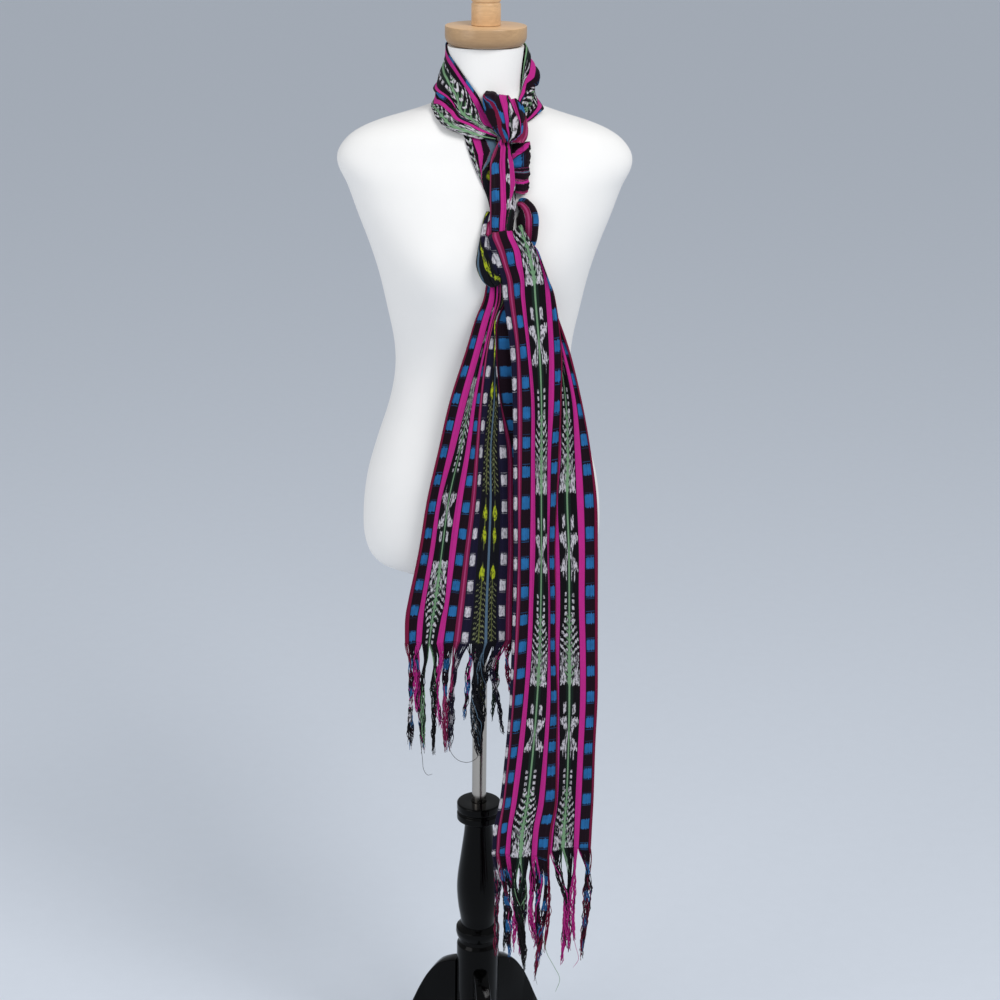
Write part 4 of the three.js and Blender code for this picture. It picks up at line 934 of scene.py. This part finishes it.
def cloth_finish(settings):
    """Warp stripes with a check and two tie-dyed patterns, from each point's place across and along the cloth."""
    finish = Finish("striped cotton")
    parts = finish.tree.nodes.new("ShaderNodeSeparateXYZ")
    finish.feed(finish.tree, parts.inputs[0], finish.node("UVMap", {"uv_map": "cloth"}))
    u, v = Value(finish.tree, parts.outputs[0]), Value(finish.tree, parts.outputs[1])
    w = abs(u - CLOTH["width"] / 2)
    # each yarn of the warp was dyed by itself, so a pattern's edge wanders from yarn to yarn
    random_yarn = finish.node("TexWhiteNoise", {"noise_dimensions": "1D"}, W=(u / 1.5).math("FLOOR"))
    random_pick = finish.node("TexWhiteNoise", {"noise_dimensions": "1D"}, W=(v / 1.15).math("FLOOR"))
    cloudy = lambda across, along, layer, detail: finish.noise(
        finish.node("CombineXYZ", X=u * across, Y=v * along, Z=layer), detail=detail)
    patchy = cloudy(0.11, 0.07, 0.0, 3)
    flecks = cloudy(0.6, 0.16, 7.0, 2).over(0.53, 0.08)
    wander = (random_yarn - 0.5) * 5.5 + (patchy - 0.5) * 5

    # the check: blocks along the warp, with thin lines of the weft at their ends
    block = abs((v / CLOTH["check"] + 0.5).fraction() - 0.5) * CLOTH["check"]
    check = (block + wander * 0.42).under(7.6, 1.1)
    lines = block.between(7.5, 11.5, 0.8) * (v / 2.3).fraction().under(0.42, 0.3) * random_pick.over(0.45, 0.2)
    check = check.most(lines * 0.55) * (1 - (patchy - 0.42).math("MAXIMUM", 0.0) * 0.9)

    # the wide tie-dyed stripe, mirrored about its green line: c from that line, h the share of its repeat
    h = ((v + wander) / CLOTH["jaspe"]).fraction()
    c = abs(w - CLOTH["jaspe_line"])
    swing = ((h - 0.19) * (2 * math.pi / 0.165)).math("COSINE")
    figure = h.between(0.18, 0.362, 0.004) * c.between(2.6 + swing, 8.7 + swing * 4.2, 0.9)
    split = h.between(0.25, 0.345, 0.01) * abs(c - 4.4 - (h - 0.3) * 30).under(0.7, 0.7)
    dashes = h.between(0.098, 0.152, 0.008) * abs(c - 6.2).under(2.0, 0.8)
    drips = h.between(0.355, 0.43, 0.01) * random_yarn.over(0.62 + (h - 0.36) * 4, 0.1) * c.between(3.2, 9.5)
    beads = h.between(0.48, 0.63, 0.01) * (v / 9.6).fraction().under(0.6, 0.1) * abs(c - 5.6).under(1.5, 0.9)
    # feathered strokes, which run into fine streaks before the figure ends in two lobes
    rungs = ((v + wander * 0.6 + abs(c - 5.2) * 1.5 + (patchy - 0.5) * 9) / 11.4).fraction()
    late = finish.ramp(h, 0.8, 0.86)
    strokes = rungs.under(patchy - 0.17, 0.13) * (1 - late) + cloudy(0.62, 0.075, 3.0, 2).over(0.52, 0.05) * late
    reach = finish.ramp(h, 0.56, 0.72) * 8.5 + 4.5
    arms = h.between(0.59, 0.987, 0.004) * c.between(2.2, 12.9, 0.8) * c.under(reach, 1.5) * strokes
    lobes = h.between(0.89, 0.987, 0.004) * abs(c - 8.2).under(finish.ramp(h, 0.88, 0.985) * 4.6, 0.9)
    light = (figure * (1 - split)).most(dashes).most(drips).most(beads).most(arms).most(lobes) * (1 - flecks * 0.8)
    stem = c.under(1.15 + finish.ramp(h, 0.75, 0.9) * h.under(0.985, 0.02) * ((v * 0.9).sine() * 0.5 + 1.1), 0.6)
    green_arms = (h.between(0.6, 0.98, 0.01) * c.under(6.5, 2.0) * ((v + c * 1.5) / 11.4 + 0.45).fraction()
                  .under(0.3, 0.16))

    # the middle stripe, mirrored about its grey line: two stalks with leaves, and feathered strokes
    stalk = abs(w - CLOTH["middle_lines"])
    stalks = (h.between(0.05, 0.33, 0.02) + h.between(0.36, 0.97, 0.02)).least(1) * stalk.under(0.5, 0.6)
    leaf = lambda low, high, wide: (
        h.between(low, high, 0.006)
        * (stalk - wander * 0.18).under(wide * (1 - ((h - (low + high) / 2) / ((high - low) / 1.8)) ** 2), 0.8))
    leaves = leaf(0.09, 0.18, 2.3).most(leaf(0.215, 0.3, 2.6)).most(leaf(0.885, 0.965, 2.8)) * (1 - flecks * 0.75)
    ticks = (h.between(0.37, 0.87, 0.01) * w.between(1.8, 11.5, 0.8) * (1 - flecks * 0.8)
             * ((v + wander * 0.6 + stalk * 1.5) / 8.6).fraction().under((patchy - 0.5) * 0.9 + 0.3, 0.15))

    blue, pink, white, green = (srgb(*shade) for shade in (settings.blue, settings.pink, settings.white,
                                                           settings.green))
    jaspe = finish.layers(finish.mix(c.under(4.5, 2), srgb(*settings.black), srgb(20, 36, 30)),
                          (green_arms, tuple(0.8 * x for x in green)), (light, white), (stem, green))
    middle = finish.layers(srgb(11, 11, 20), (ticks, srgb(116, 120, 84)), (stalks, srgb(92, 98, 52)),
                           (leaves, srgb(*settings.yellow)), (w.under(1.3), srgb(84, 108, 128)))
    colour = finish.layers(
        srgb(*settings.selvage), (w.between(0, 100.5), srgb(23, 5, 18)), (w.between(89, 99.5, 0.8) * check, blue),
        (w.between(78.1, 87.3), pink), (w.between(50.5, 77.5), jaspe), (w.between(41.2, 50.0), pink),
        (w.between(29.3, 39.4, 0.8) * check, blue), (w.between(22.7, 28.2), srgb(128, 24, 70)),
        (w.between(13.2, 22.7), srgb(20, 16, 42)), (abs(w - 25.3).under(0.7) * 0.45, srgb(196, 84, 140)),
        (w.between(15.2, 21.4, 0.8) * check * (1 - flecks * 0.4), white), (w.under(13.2), middle))
    # uneven yarns, and the dark gaps between them
    colour = finish.mix(random_yarn * 0.16 + patchy * 0.16, colour, (0.0, 0.0, 0.0))
    grain = (u / 0.85).fraction() - 0.5
    weave = (abs(grain) * -1.2 + (v * (2 * math.pi / 1.15)).sine() * 0.25 + random_yarn * 0.4)
    bump = finish.bump(weave * 0.25 + cloudy(0.12, 0.02, 1.0, 4) * 6.0, 0.35, 0.001)
    return finish.surface(Base_Color=colour, Roughness=random_yarn * 0.1 + 0.82, Sheen_Weight=0.04,
                          Sheen_Roughness=0.5, Specular_IOR_Level=0.12, Normal=bump)


def plain_finish(name, colour, roughness, metallic=0.0, gloss=0.5):
    finish = Finish(name)
    speck = finish.noise(finish.place(), 40, 4)
    tint = finish.mix(speck, tuple(0.97 * c for c in colour), colour)
    bump = finish.bump(finish.noise(finish.place(), 400, 3), 0.04, 0.001)
    return finish.surface(Base_Color=tint, Roughness=speck * 0.06 + (roughness - 0.03), Metallic=metallic,
                          Specular_IOR_Level=gloss, Normal=bump)


def wood_finish(colour):
    """Pale turned wood: streaks along its grain, bands of growth across it, and painted shade on the cap's side,
    darker below its lit top face.
    """
    finish = Finish("pale wood")
    streak = finish.noise(finish.place((14, 260, 420)), detail=4, rough=0.6)
    band = finish.noise(finish.place((3, 22, 60)), warp=0.6)
    height = finish.node("SeparateXYZ", out=2, Vector=finish.node("TexCoord", out=3)) * 1000
    face = NECK_TOP + SEAM + CAP["height"]
    # painted shade: the cap's side runs from half the wood's colour at its foot to seven tenths at its top edge; only
    # the top face and the knob above it take the full colour
    rim = finish.ramp(height, NECK_TOP, face) * 0.4 + height.over(face - 0.7, 0.6) * 0.6
    tint = finish.mix(rim, tuple(0.5 * c for c in colour), colour)
    share = finish.ramp(streak, 0.35, 0.7) * 0.5 + finish.ramp(band, 0.4, 0.62) * 0.5
    tint = finish.mix(share * -0.34 + 0.34, tint, (0.13, 0.06, 0.025))
    bump = finish.bump(streak, 0.12, 0.001)
    return finish.surface(Base_Color=tint, Roughness=streak * 0.12 + 0.32, Specular_IOR_Level=0.45, Normal=bump)


FINISHES = {}


def finish_for(scene, name):
    """The named material, made once."""
    if name not in FINISHES:
        make = {
            "cotton": lambda: cloth_finish(scene.scarf_cloth),
            "form": lambda: plain_finish("off-white jersey", srgb(240, 238, 235), 0.75),
            "pale_wood": lambda: wood_finish(srgb(*scene.scarf_form.wood)),
            "pole": lambda: plain_finish("satin nickel", srgb(176, 170, 162), 0.2, metallic=1.0),
            "black_wood": lambda: plain_finish("black lacquer", srgb(3, 3, 3), 0.09, gloss=0.1),
        }
        FINISHES[name] = make[name]()
    return FINISHES[name]


# ------------------------------------------------------------ settings
class ScarfCloth(bpy.types.PropertyGroup):
    """The scarf's cloth."""
    thickness: FloatProperty(name="Thickness", description="Thickness of the woven cloth", default=0.0012,
                             min=0.0006, max=0.002, subtype="DISTANCE", unit="LENGTH")
    blue: FloatVectorProperty(name="Blue", description="Blocks of the check, 0 to 255", default=(38, 106, 164), size=3)
    pink: FloatVectorProperty(name="Pink", description="The wide stripes, 0 to 255", default=(188, 40, 134), size=3)
    white: FloatVectorProperty(name="White", description="The light yarns, 0 to 255", default=(206, 201, 208), size=3)
    green: FloatVectorProperty(name="Green", description="Line of the dyed stripe, 0 to 255",
                               default=(118, 156, 118), size=3)
    yellow: FloatVectorProperty(name="Yellow", description="Middle stripe, 0 to 255", default=(172, 184, 36), size=3)
    black: FloatVectorProperty(name="Black", description="The ground, 0 to 255", default=(11, 7, 13), size=3)
    selvage: FloatVectorProperty(name="Selvage", description="The edge, 0 to 255", default=(118, 16, 56), size=3)


class ScarfKnots(bpy.types.PropertyGroup):
    """How finely the scarf's knots are pleated."""
    across: IntProperty(name="Across", description="Facets across a stretch", default=120, min=40, max=200)
    along: IntProperty(name="Along", description="Facets along a stretch", default=110, min=30, max=200)


class ScarfTails(bpy.types.PropertyGroup):
    """The hanging tails and their fringe."""
    across: IntProperty(name="Across", description="Facets across a tail", default=150, min=60, max=240)
    along: IntProperty(name="Along", description="Facets along a tail", default=230, min=60, max=400)
    seed: IntProperty(name="Fringe", description="Another tangle of the fringe", default=4, min=0, max=99)


class ScarfForm(bpy.types.PropertyGroup):
    """The dress form and its stand."""
    around: IntProperty(name="Around", description="Facets round the torso", default=200, min=60, max=400)
    along: IntProperty(name="Height", description="Facets up the torso", default=110, min=40, max=300)
    wood: FloatVectorProperty(name="Wood", description="Colour of the cap, 0 to 255", default=(228, 186, 138), size=3)


class ScarfStage(bpy.types.PropertyGroup):
    """The floor, the light and the camera."""
    floor: FloatVectorProperty(name="Floor", description="Colour of the floor, 0 to 255", default=(222, 228, 237),
                               size=3)
    key: FloatProperty(name="Key light", description="Power of the main lamp", default=84, unit="POWER")
    fill: FloatProperty(name="Fill light", description="Power of the side lamp", default=36, unit="POWER")


# ------------------------------------------------------------ operators
def rigid_piece(scene, name, node, shape, slot, body="form", sharp=40):
    """A hard piece from its points and faces, in place of its plain node."""
    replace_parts(make_object(name, *shape, None, finish_for(scene, slot), body, slot, sharp), node)


class BuildForm(bpy.types.Operator):
    """Build the dress form's torso, neck cap and knob"""
    bl_idname = "scarf.build_form"
    bl_label = "Dress form"

    def execute(self, context):
        scene = context.scene
        form = scene.scarf_form
        rigid_piece(scene, "torso", "form_torso", torso_mesh(form.around, form.along), "form", sharp=50)
        rigid_piece(scene, "neck_cap", "neck_cap", lathe(cap_profile(), 96), "pale_wood")
        rigid_piece(scene, "knob", "cap_knob", lathe(knob_profile(), 72), "pale_wood")
        return {"FINISHED"}


class BuildStand(bpy.types.Operator):
    """Build the pole, the turned post and its three legs"""
    bl_idname = "scarf.build_stand"
    bl_label = "Stand"

    def execute(self, context):
        scene = context.scene
        ends = [(0, POLE["bottom"]), (POLE["radius"], POLE["bottom"]), (POLE["radius"], POLE["top"]),
                (0, POLE["top"])]
        rigid_piece(scene, "pole", "pole", lathe(rounded(ends, 0.8), 64), "pole", "pole")
        rigid_piece(scene, "post", "stand_post", lathe(post_profile(), 96), "black_wood", "stand", 35)
        for name, degrees in LEG_ANGLES.items():
            rigid_piece(scene, name, name, leg_mesh(degrees, 90), "black_wood", "stand", 35)
        return {"FINISHED"}


class BuildNeck(bpy.types.Operator):
    """Build the two bands of the scarf round the neck"""
    bl_idname = "scarf.build_neck"
    bl_label = "Neck bands"

    def execute(self, context):
        scene = context.scene
        middle, s, t = neck_surface(136, 324)
        near, far = places(s, t, NECK_NEAR), places(s, t, NECK_FAR)
        behind = ease(t, 0.42, 0.56)
        lower = s > neck_seam(t)
        across = (near + behind * (np.where(lower, far, far - CLOTH["width"]) - near)) % CLOTH["width"]
        turned = NECK_PATTERN
        shift = np.where(lower, turned["lower"] * (1 - behind) + turned["lower_behind"] * behind,
                         turned["upper_behind"] * behind)
        cloth_piece("scarf_neck", ["scarf_neck_left", "scarf_neck_back", "scarf_neck_right"], middle, across,
                    turned["start"] - along_of(middle)[:, None] + shift, finish_for(scene, "cotton"),
                    thickness=scene.scarf_cloth.thickness * 1000)
        return {"FINISHED"}


class BuildKnots(bpy.types.Operator):
    """Build the crossed, wrapped and tucked stretches of the scarf at the throat"""
    bl_idname = "scarf.build_knots"
    bl_label = "Knots"

    def execute(self, context):
        scene = context.scene
        across, along = scene.scarf_knots.across, scene.scarf_knots.along
        thickness = scene.scarf_cloth.thickness * 1000
        finish = finish_for(scene, "cotton")

        def stretch(name, rows, pleats, depth, seed, run=1.0, start=0.0, skew=None, rests_on=("torso",), **lay):
            middle, s, t = gathered_surface(rows, across, along, pleats, depth, seed, **lay)
            s = s if lay.get("lay") else 1 - s
            down = start + run * along_of(middle)[:, None] + (np.interp(s, *zip(*skew)) if skew else 0)
            cloth_piece("scarf_" + name, ["scarf_" + name], middle, places(s, t, STRIPES[name]), down, finish,
                        thickness=thickness)

        stretch("under", UNDER, 3, 1.6, 21, start=190)
        # the throw's skew moves its pattern 20 mm along over its first quarter, so no blue block of the check falls in
        # its painted shade
        stretch("throw", THROW, 5, 3.6, 22, lay="level", bias=0.15, rests_on=("torso", "scarf_neck"),
                skew=((0, 20), (0.24, 20), (0.28, 0), (0.4, 0), (0.6, 22), (1, 22)))
        stretch("core", CORE, 3, 2.8, 23, run=1.17, start=-15.5, rests_on=("scarf_under",))
        stretch("wrap", WRAP, 5, 2, 24, start=-5.5, lay="upright")
        stretch("loop", LOOP, 1, 0.8, 25, run=1.2, start=-41, bias=-0.2)
        stretch("bulb", BULB, 5, 2.2, 26, run=1.2, start=-50, bias=0.1,
                skew=((0, 22), (0.37, 22), (0.39, 0), (0.56, 0), (0.58, 17), (1, 17)))
        return {"FINISHED"}


class BuildTails(bpy.types.Operator):
    """Build the two hanging tails, folded lengthwise, and their fringe"""
    bl_idname = "scarf.build_tails"
    bl_label = "Tails and fringe"

    def execute(self, context):
        scene = context.scene
        tails = scene.scarf_tails
        thickness = scene.scarf_cloth.thickness * 1000
        finish = finish_for(scene, "cotton")

        def hang(side, middle, u, along, way, locks, strays, seed):
            fringed = fringe("fringe_" + side, middle, u, float(along[-1].mean()), way, locks, strays, finish, seed)
            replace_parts(fringed, "fringe_" + side)
            cloth_piece("tail_" + side, ["scarf_tail_" + side], middle, u, along, finish, thickness)

        middle, u, t = tail_surface(TAIL_FRONT, FRONT_LINES, FRONT_BACK_LINES, tails.across, tails.along,
                                    FRONT_WAVE, 18, KNOT_EDGE)
        slant = smooth(TAIL_FRONT, "slant", t * (len(TAIL_FRONT["z"]) - 1))
        along = FRONT_PATTERN - middle[..., 2]
        along = along + np.interp(along, *zip(*BEATEN))
        along = along + slant * (0.5 - u / FRONT_LINES["fold"]) * (u < FRONT_BACK_LINES["fold"] - 1)
        hang("front", middle, u, along, 1, FRONT_LOCKS, FRONT_STRAYS, tails.seed)
        middle, u, t = tail_surface(TAIL_BACK, BACK_LINES, BACK_BACK_LINES, tails.across, tails.along,
                                    BACK_WAVE, 6)
        middle[..., 1] += 5 * ease(middle[..., 0], 2, 24) * ease(1180 - middle[..., 2], 0, 90)
        middle[..., 1] -= 0.8 * ease(middle[..., 2], 1180, 1260)
        along = (middle[..., 2] - BACK_PATTERN["from"]) * BACK_PATTERN["run"]
        hang("back", middle, u, along, -1, BACK_LOCKS, BACK_STRAYS, tails.seed + 1)
        return {"FINISHED"}


class BuildStage(bpy.types.Operator):
    """Build the floor, the soft studio light and the camera"""
    bl_idname = "scarf.build_stage"
    bl_label = "Floor, light and camera"

    def execute(self, context):
        scene = context.scene
        setup = scene.scarf_stage
        mesh = bpy.data.meshes.new("floor")
        mesh.from_pydata([(-40, -40, 0), (40, -40, 0), (40, 40, 0), (-40, 40, 0)], [], [(0, 1, 2, 3)])
        floor = bpy.data.objects.new("floor", mesh)
        scene.collection.objects.link(floor)
        mesh.materials.append(plain_finish("pale grey floor", srgb(*setup.floor), 0.9))

        foot = Vector((*AXIS, 0))
        for name, (place, aim, size) in LAMPS.items():
            light = bpy.data.lights.new(name, "AREA")
            light.shape, light.size, light.size_y = "RECTANGLE", size, size
            light.energy = getattr(setup, name)
            lamp = bpy.data.objects.new(name, light)
            scene.collection.objects.link(lamp)
            lamp.location = foot + Vector(place)
            lamp.rotation_euler = (Vector(aim) - Vector(place)).to_track_quat("-Z", "Y").to_euler()

        world = bpy.data.worlds.new("soft studio")
        world.use_nodes = True
        background = world.node_tree.nodes["Background"]
        background.inputs["Color"].default_value = SKY["colour"]
        background.inputs["Strength"].default_value = SKY["strength"]
        scene.world = world
        scene.view_settings.view_transform = "Standard"
        data = bpy.data.cameras.new("camera")
        data.lens, data.sensor_width = CAMERA["lens"], CAMERA["sensor"]
        camera = bpy.data.objects.new("camera", data)
        scene.collection.objects.link(camera)
        turn = Matrix((CAMERA["right"], CAMERA["up"], -Vector(CAMERA["ahead"]))).transposed().to_4x4()
        camera.matrix_world = Matrix.Translation(foot + Vector(CAMERA["place"])) @ turn
        scene.camera = camera
        return {"FINISHED"}


class ScarfPanel(bpy.types.Panel):
    """The scarf's settings and build steps."""
    bl_label = "Fringed scarf"
    bl_idname = "VIEW3D_PT_scarf"
    bl_space_type = "VIEW_3D"
    bl_region_type = "UI"
    bl_category = "Scarf"

    def draw(self, context):
        layout = self.layout
        for title, group, operators in STEPS:
            box = layout.box()
            box.label(text=title)
            settings = getattr(context.scene, group)
            for name in settings.__annotations__:
                box.prop(settings, name)
            for operator in operators:
                box.operator(operator.bl_idname)


STEPS = [
    ("Form and stand", "scarf_form", [BuildForm, BuildStand]),
    ("Cloth", "scarf_cloth", [BuildNeck]),
    ("Knots", "scarf_knots", [BuildKnots]),
    ("Tails", "scarf_tails", [BuildTails]),
    ("Stage", "scarf_stage", [BuildStage]),
]
SETTINGS = {"scarf_cloth": ScarfCloth, "scarf_knots": ScarfKnots, "scarf_tails": ScarfTails,
            "scarf_form": ScarfForm, "scarf_stage": ScarfStage}
CLASSES = [*SETTINGS.values(), BuildForm, BuildStand, BuildNeck, BuildKnots, BuildTails, BuildStage, ScarfPanel]


def register():
    for cls in CLASSES:
        bpy.utils.register_class(cls)
    for name, cls in SETTINGS.items():
        setattr(bpy.types.Scene, name, PointerProperty(type=cls))


def unregister():
    for name in SETTINGS:
        delattr(bpy.types.Scene, name)
    for cls in reversed(CLASSES):
        bpy.utils.unregister_class(cls)


def main():
    register()
    bpy.ops.scarf.build_form()
    bpy.ops.scarf.build_stand()
    bpy.ops.scarf.build_neck()
    bpy.ops.scarf.build_knots()
    bpy.ops.scarf.build_tails()
    bpy.ops.scarf.build_stage()
    bpy.context.view_layer.update()


if __name__ == "__main__":
    main()
